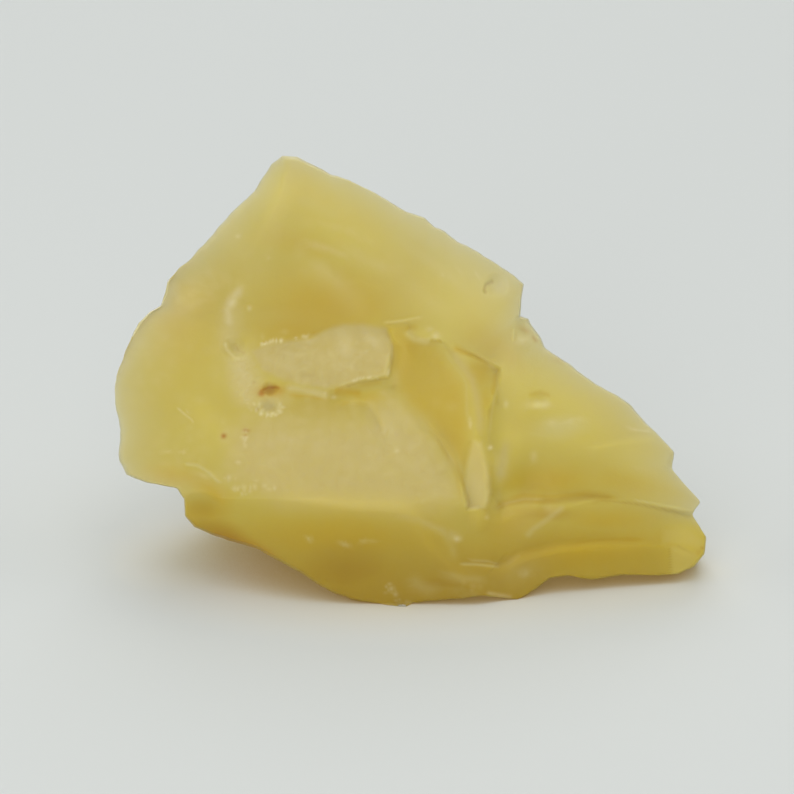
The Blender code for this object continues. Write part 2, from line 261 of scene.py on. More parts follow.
@dataclass(frozen=True)
class Streak(Mark):
    """A mark along a line, such as a lip, a scratch or a vein.

    Its left side also stands step above its right, and that fades away over reach.
    """

    path: Points
    width: float = 0.3
    step: float = 0.0
    reach: float = 1.5
    taper: float = 0.15

    @property
    def shapes(self) -> bool:
        """Whether the mark moves the surface at all."""
        return self.rise != 0.0 or self.step != 0.0

    def ends(self, along: Array) -> Array:
        """1 along the line, fading to 0 at its ends: along is the share of the line passed."""
        return fade(along / self.taper) * fade((1.0 - along) / self.taper)

    def cover(self, u: Array, v: Array) -> Array:
        """How strong the mark is.

        Args:
            u: Places along the broad face.
            v: Places up it.

        Returns:
            The mark's strength at each place, from 0 to 1.
        """
        distance, along = off_line(u, v, self.path)
        return np.exp(-((distance / self.width) ** 2)) * self.ends(along)

    def relief(self, u: Array, v: Array) -> Array:
        """How far the mark raises the broad face.

        Args:
            u: Places along the broad face.
            v: Places up it.

        Returns:
            The rise at each place, in millimetres.
        """
        distance, along = off_line(u, v, self.path)
        side = np.tanh(distance / self.width) * np.exp(-np.abs(distance) / self.reach)
        ridge = np.exp(-((distance / self.width) ** 2))
        return (self.rise * ridge + 0.5 * self.step * side) * self.ends(along)


@dataclass(frozen=True)
class Cloud(Mark):
    """A soft round or oval mark: size is its two half lengths, and turn its angle in degrees."""

    at: tuple[float, float]
    size: tuple[float, float]
    turn: float = 0.0

    def cover(self, u: Array, v: Array) -> Array:
        """How strong the mark is.

        Args:
            u: Places along the broad face.
            v: Places up it.

        Returns:
            The mark's strength at each place, from 0 to 1.
        """
        turn = math.radians(self.turn)
        far = (u - self.at[0]) * math.cos(turn) + (v - self.at[1]) * math.sin(turn)
        side = (v - self.at[1]) * math.cos(turn) - (u - self.at[0]) * math.sin(turn)
        return np.exp(-((far / self.size[0]) ** 2) - (side / self.size[1]) ** 2)


@dataclass(frozen=True)
class Patch(Mark):
    """A mark with an outline, soft over so many millimetres and roughened by grains of one size."""

    outline: Points
    soft: float = 0.5
    rough: float = 0.0
    grain: float = 0.6

    @property
    def shapes(self) -> bool:
        """Whether the mark moves the surface at all."""
        return self.rise != 0.0 or self.rough != 0.0

    def cover(self, u: Array, v: Array) -> Array:
        """How strong the mark is at each place (u, v), from 0 to 1."""
        return over_ledge(inside(u, v, self.outline), self.soft)

    def relief(self, u: Array, v: Array) -> Array:
        """How far the mark raises the broad face.

        Args:
            u: Places along the broad face.
            v: Places up it.

        Returns:
            The rise at each place, in millimetres.
        """
        cover = self.cover(u, v)
        held = cover > 0.0
        places = np.stack([u[held], v[held], np.zeros(held.sum())], axis=1)
        rise = self.rise * cover
        rise[held] += self.rough * cover[held] * waves(places, self.grain, 4)
        return rise


@dataclass(frozen=True)
class Crumbs(Mark):
    """Broken grains strewn along a line: spread is how far they stray from it and grain their size."""

    path: Points
    spread: float
    count: int
    grain: float = 0.22
    seed: int = 1

    def cover(self, u: Array, v: Array) -> Array:
        """How strong the mark is.

        Args:
            u: Places along the broad face.
            v: Places up it.

        Returns:
            The mark's strength at each place, from 0 to 1.
        """
        rng = np.random.default_rng(self.seed)
        points = np.array(self.path, float)
        strewn = np.zeros(len(u))
        for _ in range(self.count):
            leg = rng.integers(len(points) - 1)
            at = mix(points[leg], points[leg + 1], rng.random()) + rng.normal(0.0, self.spread, 2)
            size = self.grain * rng.uniform(0.6, 1.5, 2)
            speck = np.exp(-(((u - at[0]) / size[0]) ** 2) - ((v - at[1]) / size[1]) ** 2)
            strewn = np.maximum(strewn, speck * rng.uniform(0.4, 1.0))
        return strewn


@dataclass(frozen=True)
class Scoop:
    """A shell-shaped chip: where its middle is, the radius of the ball that fits it, and its depth."""

    u: float
    v: float
    radius: float
    depth: float
    worn: float = 0.2  # how far its edge is rounded over, in millimetres
    step: float = 0.5  # how far apart the surface is read for the way it faces

    def cut(self, form: Surface, surface: Array, u: Array, v: Array, side: Side) -> Array:
        """Sinks the chip into a surface.

        Args:
            form: The surface's form, for the way it faces at the chip.
            surface: How far it stands out at each place.
            u: Places along the broad face.
            v: Places up it.
            side: Which way the surface faces.

        Returns:
            How far it stands out once it is chipped.
        """
        sense = side.value
        near_u = self.u + np.array([0.0, self.step, 0.0])
        near_v = self.v + np.array([0.0, 0.0, self.step])
        here, right, over = form(near_u, near_v)
        normal = np.array([(here - right) / self.step, (here - over) / self.step, 1.0]) * sense
        out = normal / np.linalg.norm(normal) * (self.radius - self.depth)
        middle = np.array([self.u, self.v, here]) + out
        chord = self.radius**2 - (u - middle[0]) ** 2 - (v - middle[1]) ** 2
        bite = middle[2] - sense * np.sqrt(np.clip(chord, 0.0, None))
        return np.where(chord > 0, sense * lower(sense * surface, sense * bite, self.worn), surface)


# The stone


@dataclass
class StoneForm:
    """The stone's broken form: its rim, the breaks in front and behind, and how far each stands out."""

    face_lean: float = 20.0  # how far the broad face leans back, in degrees
    floor_drop: float = 21.6  # how far the floor is below the face's middle
    ledge: float = 0.35  # how wide a crisp ledge is
    soft_ledge: float = 1.8  # and a worn one
    pocket_wall: float = 0.4
    soft_wall: float = 2.4
    rounding: float = 0.4  # how much of the rim's rounding falls on the broad face
    back_rounding: float = 1.6  # and on the back
    skin_wave: float = 0.22
    wave_size: float = 7.0
    wedge: float = 0.45  # the least that the back falls away for each millimetre in from the rim
    least_thickness: float = 0.5
    # The height, size and seed of each lot of chips and nicks along the rim
    rim_chips: tuple[tuple[float, float, int], ...] = ((0.14, 2.6, 1), (0.14, 6.0, 2), (0.09, 1.1, 5))

    # Clockwise from the peak: (u, v, w, rounding radius)
    rim: tuple[tuple[float, float, float, float], ...] = (
        (-14.3, 29.6, -0.2, 2.0), (-12.5, 29.5, 0.0, 2.0), (-11.6, 29.0, 0.0, 1.8),
        (-8.5, 27.4, 0.1, 1.0), (-6.1, 26.7, 0.2, 0.8), (-3.9, 25.6, 0.2, 0.7),
        (-1.2, 24.0, 0.2, 0.7), (0.9, 22.7, 0.1, 0.7), (3.0, 22.0, 0.0, 0.7),
        (4.3, 20.9, 0.0, 0.7), (5.4, 20.4, 0.0, 0.7), (7.0, 19.1, -0.1, 0.7),
        (9.8, 17.6, -0.2, 0.7), (13.9, 15.1, -0.4, 0.7), (15.0, 14.0, -0.6, 0.8),
        (14.8, 12.9, -0.6, 0.8), (14.5, 10.1, -0.8, 0.7), (15.5, 9.8, -1.4, 0.8),
        (15.9, 9.1, -1.4, 0.9), (17.2, 7.4, -1.6, 1.1), (17.7, 6.4, -1.7, 1.2),
        (18.4, 5.8, -1.8, 1.3), (20.6, 4.4, -1.9, 1.4), (21.6, 3.4, -2.0, 1.4),
        (23.8, 1.9, -2.0, 1.4), (26.4, 0.5, -2.1, 1.5), (28.2, -0.8, -2.2, 1.4),
        (29.7, -2.6, -2.2, 1.2), (31.1, -3.9, -2.3, 1.1), (33.3, -6.3, -2.4, 0.9),
        (33.0, -8.4, -2.5, 0.8), (34.1, -9.7, -2.5, 0.8), (36.6, -12.4, -2.6, 0.7),
        (36.1, -13.2, -2.8, 0.7), (35.7, -14.0, -3.2, 0.7), (36.7, -15.6, -3.2, 0.9),
        (37.4, -16.8, -3.3, 1.1), (37.1, -18.8, -3.6, 1.2), (35.9, -20.2, -4.0, 1.3),
        (33.9, -21.2, -4.5, 1.2), (31.0, -21.3, -4.4, 1.1), (26.9, -21.3, -4.2, 1.1),
        (23.3, -21.9, -3.0, 1.0), (20.4, -21.3, -2.8, 1.0), (18.1, -21.7, -2.2, 1.0),
        (15.5, -23.4, 1.6, 0.9), (14.1, -23.9, 3.0, 0.8), (10.1, -23.6, 2.2, 0.8),
        (7.8, -24.0, 3.2, 0.8), (1.6, -24.4, 4.2, 0.8), (0.6, -24.9, 5.1, 0.9),
        (-1.5, -24.6, 4.7, 0.9), (-5.9, -24.0, 3.0, 1.1), (-9.0, -22.7, 1.2, 1.3),
        (-12.3, -20.8, 0.2, 1.5), (-17.0, -18.2, -0.5, 1.6), (-20.8, -17.0, -0.9, 1.5),
        (-25.0, -15.4, -1.3, 1.2), (-26.1, -14.0, -1.4, 1.0), (-26.2, -12.0, -0.8, 1.0),
        (-27.1, -10.7, 0.6, 1.0), (-30.9, -10.0, 1.0, 1.3), (-33.1, -9.0, 1.0, 1.6),
        (-33.9, -7.4, 0.9, 2.0), (-33.8, -3.6, 0.6, 3.0), (-34.5, -0.5, 0.4, 3.4),
        (-34.5, 2.9, 0.2, 3.2), (-33.3, 5.8, -0.1, 2.6), (-31.7, 9.3, -0.4, 1.0),
        (-30.3, 10.8, -0.7, 0.6), (-29.1, 11.4, -0.9, 0.6), (-28.1, 14.4, -0.9, 0.7),
        (-24.2, 18.5, -0.8, 2.0), (-20.6, 22.5, -0.6, 2.2), (-17.7, 25.3, -0.5, 2.2),
        (-15.6, 28.6, -0.3, 2.0),
    )
    tail_ledge: Points = (
        (7.0, -15.2), (11.0, -13.6), (12.9, -12.4), (16.5, -11.9), (17.2, -12.2), (19.1, -12.0),
        (24.0, -11.7), (28.4, -12.3), (33.6, -13.4), (38.0, -14.4),
    )
    foot_ledge: Points = (
        (5.0, -19.4), (7.0, -19.6), (11.6, -20.0), (12.9, -19.8), (14.5, -18.7), (19.1, -17.7),
        (24.6, -17.4), (31.0, -17.4), (36.0, -19.1), (39.0, -20.2),
    )
    blade: Points = (
        (5.2, 6.6), (6.1, 5.1), (7.0, 3.6), (7.9, 2.4), (8.3, 1.0), (8.6, -1.2), (8.7, -3.0),
        (9.0, -4.8), (9.4, -8.0), (9.6, -12.5),
    )
    slab_edge: Points = (
        (17.0, 10.2), (14.4, 9.9), (13.9, 6.8), (12.2, 3.6), (11.2, -2.0), (11.2, -16.0),
    )
    pocket_edge: Points = (
        (-1.5, 9.0), (0.9, 9.2), (1.3, 8.1), (2.1, 7.2), (4.3, 7.0), (5.7, 6.7), (8.5, 5.4),
        (10.6, 4.5), (12.0, 3.7), (11.8, 1.8), (11.2, -1.2), (11.6, -4.0), (12.4, -7.0),
        (12.6, -10.4), (11.6, -12.6), (10.4, -12.9), (8.1, -12.9), (7.7, -11.0), (7.4, -9.7),
        (6.3, -7.3), (4.0, -4.0), (2.0, -0.6), (-0.5, 1.9), (-0.9, 3.3), (-0.9, 6.4),
    )
    flake_edge: Points = (
        (-18.2, 6.0), (-17.0, 6.8), (-14.5, 7.1), (-10.7, 7.7), (-9.1, 8.7), (-6.1, 9.3),
        (-4.2, 9.2), (-1.6, 8.5), (-1.0, 6.7), (-1.1, 5.0), (-1.5, 2.8), (-4.6, 2.3), (-6.6, 1.8),
        (-8.2, 0.9), (-11.5, 1.5), (-14.5, 2.5), (-16.4, 3.5),
    )
    groove: Points = ((-8.0, 0.5), (-5.5, 0.9), (-3.0, 1.6), (-0.9, 1.5))
    face_scoops: tuple[Scoop, ...] = (
        Scoop(-24.0, -12.4, 8.0, 0.35),
        Scoop(16.9, 0.1, 3.6, 0.1),
        Scoop(-15.6, 1.4, 1.5, 0.4),
        Scoop(-15.8, -0.6, 2.0, 0.3),
        Scoop(-20.2, 6.4, 3.6, 0.3),
        Scoop(11.6, 13.8, 3.2, 0.3),
    )
    back_scoops: tuple[Scoop, ...] = (
        Scoop(4.0, 12.5, 52.0, 2.4),
        Scoop(19.0, -2.0, 40.0, 2.5),
        Scoop(-22.5, 9.0, 44.0, 2.0),
        Scoop(-27.0, -5.0, 24.0, 1.7),
        Scoop(-6.0, -6.0, 60.0, 2.2),
        Scoop(13.0, -12.0, 26.0, 1.6),
        Scoop(29.0, -11.0, 28.0, 1.8),
    )
    # A point (x, y, z) on each flat break of the back, and its outward normal
    back_breaks: tuple[tuple[tuple[float, float, float], tuple[float, float, float]], ...] = (
        ((0.0, 21.0, 14.0), (0.34, 0.85, 0.40)),
        ((-20.0, 18.0, 12.0), (-0.56, 0.79, 0.26)),
        ((0.0, 20.0, 9.0), (-0.03, 0.93, -0.37)),
        ((28.0, 8.5, 4.0), (0.51, 0.79, 0.33)),
        ((-16.0, 0.0, 0.0), (-0.59, 0.08, -0.80)),
        ((0.0, 0.0, 0.0), (0.0, 0.0, -1.0)),
    )

    @property
    def up(self) -> Array:
        """v's direction in the row frame."""
        lean = math.radians(self.face_lean)
        return np.array([0.0, math.sin(lean), math.cos(lean)])

    @property
    def out(self) -> Array:
        """w's direction in the row frame."""
        lean = math.radians(self.face_lean)
        return np.array([0.0, -math.cos(lean), math.sin(lean)])

    def slab(self, u: Array, v: Array) -> Array:
        """The upper face: a brow along the two top edges, over two hollows that meet in a soft ridge.

        Args:
            u: Places along the broad face.
            v: Places up it.

        Returns:
            How far it stands out at each place.
        """
        brow = 3.0 - ((u * 0.5 + v * 0.87 - 15.0) ** 2) / 120 - (u - 2.0) ** 2 / 420
        lip = 0.5 * np.exp(-(((u - 10.5) / 4.0) ** 2) - ((v - 5.0) / 3.0) ** 2)
        big = bowl(u, v, (-9.1, 9.1, 0.8), 0.0, 36.0, 34.0)
        small = bowl(u, v, (-3.4, 13.0, 0.9), 147.0, 44.0, 15.0)
        return lower(lower(big, small, 0.4), brow - lip, 2.4)

    def left_mass(self, u: Array, v: Array) -> Array:
        """The bulging left end."""
        fall = np.clip(-21.0 - u, 0.0, None) ** 2 / 52 + (v + 2.0) ** 2 / 160
        return 4.5 - fall + np.clip(u + 20.0, 0.0, None) ** 2 / 10

    def front(self, u: Array, v: Array) -> Array:
        """The lower face, which slopes out to the body's ridge.

        Args:
            u: Places along the broad face.
            v: Places up it.

        Returns:
            How far it stands out at each place.
        """
        face = plane(u, v, (-4.0, -11.8, 10.1), (0.02, -0.47))
        left = plane(u, v, (-16.0, -8.0, 8.6), (0.36, -0.20))
        right = plane(u, v, (0.6, -11.8, 10.1), (-0.26, -0.40))
        return lower(lower(face, left, 2.0), right, 0.9)

    def body_foot(self, u: Array, v: Array) -> Array:
        """The breaks that turn under from the body's ridge down to the floor.

        Args:
            u: Places along the broad face.
            v: Places up it.

        Returns:
            How far it stands out at each place.
        """
        drop = np.clip(-11.8 - v, 0.0, None)
        middle = 10.8 + 0.02 * u - 0.34 * drop - 0.013 * drop**2
        left = middle + 0.34 * (u + 9.5)
        saddle = plane(u, v, (0.8, -12.5, 10.5), (-0.36, 0.18))
        return lower(lower(middle, left, 1.6), saddle, 0.4)

    def block(self, u: Array, v: Array) -> Array:
        """The right-hand block, pale on top and turning under to the tail's ledge.

        Args:
            u: Places along the broad face.
            v: Places up it.

        Returns:
            How far it stands out at each place.
        """
        low_top = plane(u, v, (12.7, 0.0, 3.6), (-0.20, -0.33))
        high_top = plane(u, v, (13.0, 4.0, 2.8), (-0.16, -0.10))
        under = plane(u, v, (18.0, -7.0, 5.1), (-0.14, 0.17))
        tip = plane(u, v, (26.0, -5.2, 2.9), (-0.16, 0.08))
        dip = 0.6 * np.exp(-(((u - 14.8) / 3.4) ** 2) - ((v + 9.4) / 2.6) ** 2)
        return lower(lower(higher(low_top, high_top, 1.5), under, 1.8), tip, 0.4) - dip

    def tail(self, u: Array, v: Array) -> Array:
        """The band under the tail's ledge, and the foot under that.

        Args:
            u: Places along the broad face.
            v: Places up it.

        Returns:
            How far it stands out at each place.
        """
        band = plane(u, v, (18.0, -13.0, 4.6), (-0.24, 0.10))
        streak, _ = off_line(u, v, ((13.3, -17.6), (17.6, -12.7)))
        band = band - 0.05 * np.clip(-streak, 0.0, 3.0) ** 1.5
        distance, _ = off_line(u, v, self.foot_ledge)
        fading = 1.0 - fade((u - 22.0) / 12.0)
        groove = 0.5 * fading * np.exp(-((np.clip(distance, 0.0, None) / 2.2) ** 1.6))
        foot = band + 0.1 * fading + 0.30 * np.clip(distance, None, 0.0)
        return mix(foot, band - groove, over_ledge(distance, 1.0))

    def pocket(self, u: Array, v: Array) -> Array:
        """The trough with its blade, which end in a tongue, and the hollow to their right.

        Args:
            u: Places along the broad face.
            v: Places up it.

        Returns:
            How far it stands out at each place.
        """
        below = 6.7 - v
        crest = 1.7 + 0.42 * below - 0.03 * np.clip(below - 10.0, 0.0, None) ** 2
        distance, along = off_line(u, v, self.blade)
        trough = crest - (0.55 - 0.2 * along) * (1.0 - np.exp(-((distance / 2.4) ** 2)))
        trough = trough + 1.2 * fade((v - 0.5) / 6.0) * fade((5.0 - u) / 5.0)
        tongue = fade((-4.0 - v) / 3.0)
        beyond = np.clip(distance - 0.8 * tongue, 0.0, None)
        hollow = self.block(u, v) - 1.1 * fade((v + 1.5) / 5.5)
        right = hollow + (crest - hollow) * np.exp(-((beyond / 1.25) ** 1.6))
        return mix(trough, right, over_ledge(distance, 0.5))

    def flake(self, u: Array, v: Array) -> Array:
        """The raised flake, which rises out of the upper hollow and breaks off over a groove."""
        sinking = 0.8 * fade((-7.5 - u) / 8.0)
        return plane(u, v, (-8.0, 8.8, 1.35), (0.04, -0.38)) - 0.03 * (v - 4.5) ** 2 - sinking

    def broad_face(self, u: Array, v: Array) -> Array:
        """The broad face's breaks, brought together.

        Args:
            u: Places along the broad face.
            v: Places up it.

        Returns:
            How far it stands out at each place.
        """
        body = higher(self.front(u, v), lower(self.left_mass(u, v), self.slab(u, v), 1.0), 1.6)
        across, _ = off_line(u, v, self.slab_edge)
        upper = mix(body, self.block(u, v), over_ledge(across, np.clip(4.5 - 0.4 * v, 0.6, 4.0)))
        ledge, _ = off_line(u, v, self.tail_ledge)
        foot = mix(self.body_foot(u, v), self.tail(u, v), fade((u - 9.0) / 4.0))
        left_side = lower(upper, self.body_foot(u, v), 0.7)
        worn = mix(self.soft_ledge, self.ledge, fade((u - 17.0) / 7.0))
        right_side = mix(foot, upper, over_ledge(ledge, worn))
        face = mix(left_side, right_side, fade((u - 8.0) / 2.5))
        above_or_below = np.maximum(fade((-3.0 - v) / 1.5), fade((v - 6.0) / 1.5))
        crisp = np.maximum(fade((u - 4.5) / 2.0), above_or_below)
        crisp = crisp * (1.0 - fade((u - 10.0) / 1.0) * fade(-v / 2.0))
        wall = mix(self.soft_wall, self.pocket_wall, crisp)
        in_pocket = over_ledge(inside(u, v, self.pocket_edge), wall)
        face = mix(face, self.pocket(u, v), in_pocket)
        face = face - 0.2 * np.exp(-((off_line(u, v, self.groove)[0] / 0.8) ** 2))
        in_flake = over_ledge(inside(u, v, self.flake_edge), self.ledge)
        return mix(face, higher(face, self.flake(u, v), 0.3), in_flake)

    def back(self, u: Array, v: Array) -> Array:
        """The back's flat breaks, brought together.

        Args:
            u: Places along the broad face.
            v: Places up it.

        Returns:
            How far they stand out, below 0, at each place.
        """
        surface = np.full(u.shape, -np.inf)
        start = np.array([0.0, 0.0, self.floor_drop])
        for point, direction in self.back_breaks:
            normal = np.array(direction)
            rise = (normal[0], normal @ self.up, normal @ self.out)
            level = (normal @ (np.array(point) - start) - rise[0] * u - rise[1] * v) / rise[2]
            surface = level if np.isinf(surface).all() else higher(surface, level, 0.8)
        return surface

    def rim_at(self, angle: Array) -> Array:
        """Finds the rim on rays from the middle.

        Args:
            angle: Each ray's angle from u's direction, in radians.

        Returns:
            The rim's u, v, w and rounding radius where each ray meets it, one ray a row.
        """
        rim = np.array(self.rim[::-1])
        bearing = np.unwrap(np.arctan2(rim[:, 1], rim[:, 0]))
        rim = np.vstack([rim, rim[0]])
        bearing = np.append(bearing, bearing[0] + 2 * math.pi)
        angle = bearing[0] + np.mod(angle - bearing[0], 2 * math.pi)
        i = np.clip(np.searchsorted(bearing, angle, side="right") - 1, 0, len(self.rim) - 1)
        ray = np.stack([np.cos(angle), np.sin(angle)], axis=1)
        start, end = rim[i], rim[i + 1]
        before = start[:, 0] * ray[:, 1] - start[:, 1] * ray[:, 0]
        after = end[:, 0] * ray[:, 1] - end[:, 1] * ray[:, 0]
        share = (before / (before - after))[:, None]
        return start + (end - start) * share


def turned_over(surface: Array, rim_w: Array, inset: Array, radius: Array) -> Array:
    """A surface brought to the rim over a quarter round.

    Args:
        surface: How far it stands out at each place.
        rim_w: How far the rim stands out there.
        inset: Each place's distance in from the rim.
        radius: The quarter round's radius.

    Returns:
        How far it stands out once it is turned over.
    """
    share = np.clip(inset / radius, 0.0, 1.0)
    return rim_w + (surface - rim_w) * np.sqrt(1.0 - (1.0 - share) ** 2)


# Lips, steps and lines where breaks meet, with painted highlights on the lips and painted shade and amber
# under them
LIP_MARKS: tuple[Mark, ...] = (
    # The slab's lower lip, with a painted bright line on it and painted amber under it, and the knob at
    # its end, painted glowing
    Streak(((-2.2, 9.3), (0.5, 9.6), (2.9, 10.1)), 0.2, rise=0.06, chalk=0.12, glow=0.6),
    Streak(((-1.8, 8.5), (0.8, 8.6), (2.4, 9.0)), 0.5, amber=0.7),
    Streak(((0.7, 8.6), (1.1, 8.0), (1.9, 7.3), (3.0, 7.1), (4.0, 7.3)), 0.5, rise=0.12, pale=0.2,
           chalk=0.06),
    Cloud((2.6, 8.0), (1.6, 0.9), turn=-15.0, rise=0.1, glow=0.6),
    Cloud((4.3, 7.7), (0.6, 0.5), rise=0.12, chalk=0.3),
    Cloud((3.6, 8.5), (0.5, 0.35), chalk=0.2),
    # The deep-cornered hollow under the slab, with a painted glow along its edge and painted amber in it
    Streak(((5.8, 6.8), (7.7, 6.2), (9.7, 5.4), (11.0, 4.7), (11.9, 3.9)), 0.2, rise=0.08, glow=0.5),
    Streak(((6.0, 6.4), (7.7, 5.8), (9.7, 4.9), (11.2, 3.9)), 0.45, amber=1.0),
    Streak(((11.5, 3.6), (11.4, 1.8), (10.9, 0.4)), 0.4, amber=0.9),
    Streak(((11.9, 3.8), (11.9, 1.8), (11.4, 0.4), (11.0, -1.8), (10.7, -4.5)), 0.16, pale=0.15),
    Cloud((10.8, -5.7), (0.25, 0.25), rise=0.05, chalk=0.6),
    # The blade's two edges, with a painted pale line along the one
    Streak(((5.0, 6.5), (5.9, 4.9), (6.8, 3.8), (7.7, 2.7), (8.0, 1.8), (8.0, -1.4), (8.5, -3.7)), 0.2,
           pale=0.12),
    Streak(((8.4, -1.9), (8.4, -3.7)), 0.2, taper=0.4, chalk=0.25),
    Streak(((5.6, 6.8), (6.4, 5.6), (7.7, 3.9), (8.7, 2.5), (9.2, 0.5), (9.5, -2.1), (9.6, -4.7)), 0.5,
           frost=0.6),
    # The sheet's proud lower edge, painted amber for light that comes through it and for the shade under
    # it
    Streak(((2.9, -1.8), (3.5, -2.7), (4.5, -4.0), (5.6, -5.5), (6.4, -6.9), (7.3, -9.2), (7.6, -11.4)),
           0.35, rise=0.1, amber=0.7),
    Streak(((3.0, -2.9), (4.0, -4.3), (5.1, -5.8), (5.9, -7.2), (6.8, -9.4), (7.2, -11.6), (7.5, -12.4)),
           0.3, amber=0.6),
    # The tongue, with a painted pale edge along its bottom
    Patch(((8.7, -4.9), (8.1, -7.1), (7.7, -9.5), (7.8, -12.6), (8.2, -13.0), (10.3, -13.0),
          (10.7, -12.4), (11.0, -11.0), (10.8, -9.2), (10.2, -7.0), (9.7, -5.0)), soft=0.4, rise=0.22,
          frost=0.6, pale=0.1),
    Cloud((9.4, -10.6), (0.9, 2.0), turn=8.0, chalk=0.12),
    Streak(((8.1, -12.8), (10.4, -12.8)), 0.2, taper=0.3, pale=0.3),
    # The flake's crisp right end, with a painted pale line, its overhanging corner, with painted shade
    # among the crumbs under it, and painted amber along the flake's top
    Streak(((-1.0, 7.1), (-1.0, 5.5), (-1.3, 3.9), (-1.5, 2.8)), 0.16, pale=0.3),
    Streak(((-1.3, 3.9), (-1.5, 2.8)), 0.16, taper=0.4, chalk=0.4),
    Crumbs(((-1.7, 2.8), (-3.4, 2.5), (-5.0, 2.6), (-5.6, 2.2)), spread=0.08, count=16, grain=0.16,
           seed=13, rise=0.04, chalk=0.45),
    Crumbs(((-4.6, 2.2), (-6.4, 1.7)), spread=0.08, count=6, grain=0.16, seed=14, deep=0.7),
    Streak(((-18.0, 6.2), (-16.2, 7.1), (-12.1, 7.6), (-9.1, 8.6), (-6.6, 9.4), (-4.2, 9.4)), 0.35,
           amber=0.8),
    # The groove under the flake, painted amber and darker, and the thin lip beside it, painted paler
    Streak(((-8.2, 1.2), (-6.4, 1.0), (-4.4, 0.6)), 0.6, amber=1.0, deep=0.15),
    Streak(((-5.5, 1.6), (-3.6, 1.9), (-2.0, 2.2)), 0.35, amber=0.5),
    Streak(((-14.0, 1.6), (-11.6, 1.2), (-9.6, 0.7), (-8.3, 0.4)), 0.4, rise=0.1, pale=0.25, frost=0.5),
    Cloud((-8.0, 0.3), (0.3, 0.2), rise=0.04, chalk=0.3),
    Streak(((-13.8, 0.6), (-11.0, 0.4), (-8.4, -0.1)), 0.22, amber=0.7),
    Streak(((-8.1, -0.2), (-4.2, -0.3), (-3.4, -0.7), (-2.7, -1.6), (-2.1, -3.0), (-1.8, -4.8)), 0.35,
           step=0.25, reach=1.6, rise=0.05, amber=0.35),
    Streak(((-2.6, 1.2), (-1.6, 0.6), (-0.6, -0.6), (0.2, -2.4)), 0.5, frost=0.6),
    # The body's ridge and the arris that runs on from it, with painted glow and painted pale lines along
    # them
    Streak(((-16.2, -10.9), (-14.4, -11.9), (-10.5, -12.0), (-5.3, -11.9), (-0.1, -12.0), (2.4, -13.6)),
           0.8, rise=0.03, glow=0.2),
    Streak(((-1.2, -13.4), (2.0, -14.2), (5.0, -15.4), (6.2, -16.4)), 0.5, frost=0.4),
    Streak(((1.3, -13.6), (3.4, -14.6), (5.2, -15.8), (6.2, -17.5), (6.7, -19.5)), 0.5, rise=0.06,
           pale=0.08),
    Streak(((-26.1, -7.6), (-24.2, -7.8), (-22.7, -8.7), (-21.9, -9.6), (-21.1, -10.1)), 0.3, rise=0.08,
           pale=0.3),
    # The slab's soft ridge, painted pale and glowing, and where it meets the block, with a painted pale
    # line and painted amber glow
    Streak(((-13.1, 16.7), (-9.7, 15.5), (-7.3, 13.3), (-4.8, 11.4), (-2.4, 10.2)), 1.8, taper=0.35,
           rise=0.08, pale=0.1, glow=0.3),
    Streak(((13.8, 8.7), (13.7, 6.9)), 0.2, taper=0.3, rise=0.08, pale=0.5),
    Streak(((13.7, 6.9), (13.1, 5.3), (12.1, 3.6)), 0.4, glow=0.5),
    Cloud((13.4, 5.2), (1.4, 1.6), turn=30.0, amber=0.6, glow=0.6),
    # The block's soft arris, with a painted glow along it
    Streak(((22.2, -5.9), (24.2, -5.5), (26.3, -5.1), (28.7, -4.7), (31.5, -4.7)), 0.5, step=-0.15,
           reach=1.5, rise=0.06, glow=0.4),
    # The ledge under the block: proud at left, overhung at right, with painted pale lips and painted
    # shade and amber under it
    Streak(((11.2, -13.4), (12.6, -12.5), (14.9, -11.9), (17.0, -11.9), (17.3, -12.6)), 0.2, rise=0.03,
           pale=0.15),
    Streak(((17.6, -12.4), (19.5, -11.9), (22.3, -11.7), (26.0, -11.9)), 0.5, deep=0.5),
    Streak(((12.0, -12.3), (14.9, -11.4), (18.0, -11.6), (22.0, -11.3), (27.0, -11.8)), 0.5, amber=0.8,
           deep=0.2),
    Streak(((27.5, -11.9), (29.5, -12.2), (31.5, -12.7), (33.6, -13.1), (35.4, -13.5)), 0.2, rise=0.04,
           pale=0.3),
    Streak(((22.0, -12.0), (25.0, -12.1), (28.5, -12.5), (31.0, -13.0), (33.6, -13.6), (35.4, -14.0)),
           0.16, deep=0.5),
    Streak(((11.0, -13.4), (12.6, -12.5), (14.9, -12.0), (17.0, -12.1), (19.5, -12.0)), 0.5, deep=0.45,
           amber=0.8),
    Cloud((17.2, -13.7), (3.6, 0.9), deep=0.55, amber=0.7),
    # The ledge over the foot, with painted amber shade along it and painted pale lips
    Streak(((13.4, -19.2), (14.6, -18.4), (20.1, -17.5), (23.5, -17.0), (27.3, -16.8), (31.0, -17.0)),
           0.55, deep=0.3, amber=1.0),
    Streak(((13.8, -20.2), (16.5, -18.8), (19.2, -18.3), (22.3, -18.1)), 0.4, rise=0.03, amber=0.8),
    Streak(((6.9, -19.6), (9.5, -19.7), (12.1, -20.0)), 0.2, step=-0.2, reach=1.0, rise=0.06, pale=0.2),
    Streak(((8.2, -19.2), (10.5, -19.3), (12.0, -19.7)), 0.14, chalk=0.15),
    Streak(((20.0, -12.5), (17.6, -14.4), (15.9, -15.6), (14.9, -16.8)), 0.4, rise=0.06, pale=0.2,
           frost=0.3),
    # The tip's small facets, painted paler and glowing, with painted shade along their arrises
    Patch(((31.9, -15.6), (34.8, -15.4), (36.8, -17.2), (36.9, -17.8), (31.9, -17.3)), soft=0.5,
          rise=0.06, pale=0.1, glow=0.3),
    Patch(((32.7, -17.7), (34.0, -17.6), (36.0, -18.9), (35.0, -20.6), (32.8, -21.4)), soft=0.4,
          rise=-0.06, pale=0.1, glow=0.8),
    Streak(((32.6, -17.6), (32.7, -21.2)), 0.14, rise=-0.08, deep=0.5),
    Streak(((33.4, -17.6), (35.9, -18.7)), 0.14, deep=0.35),
)
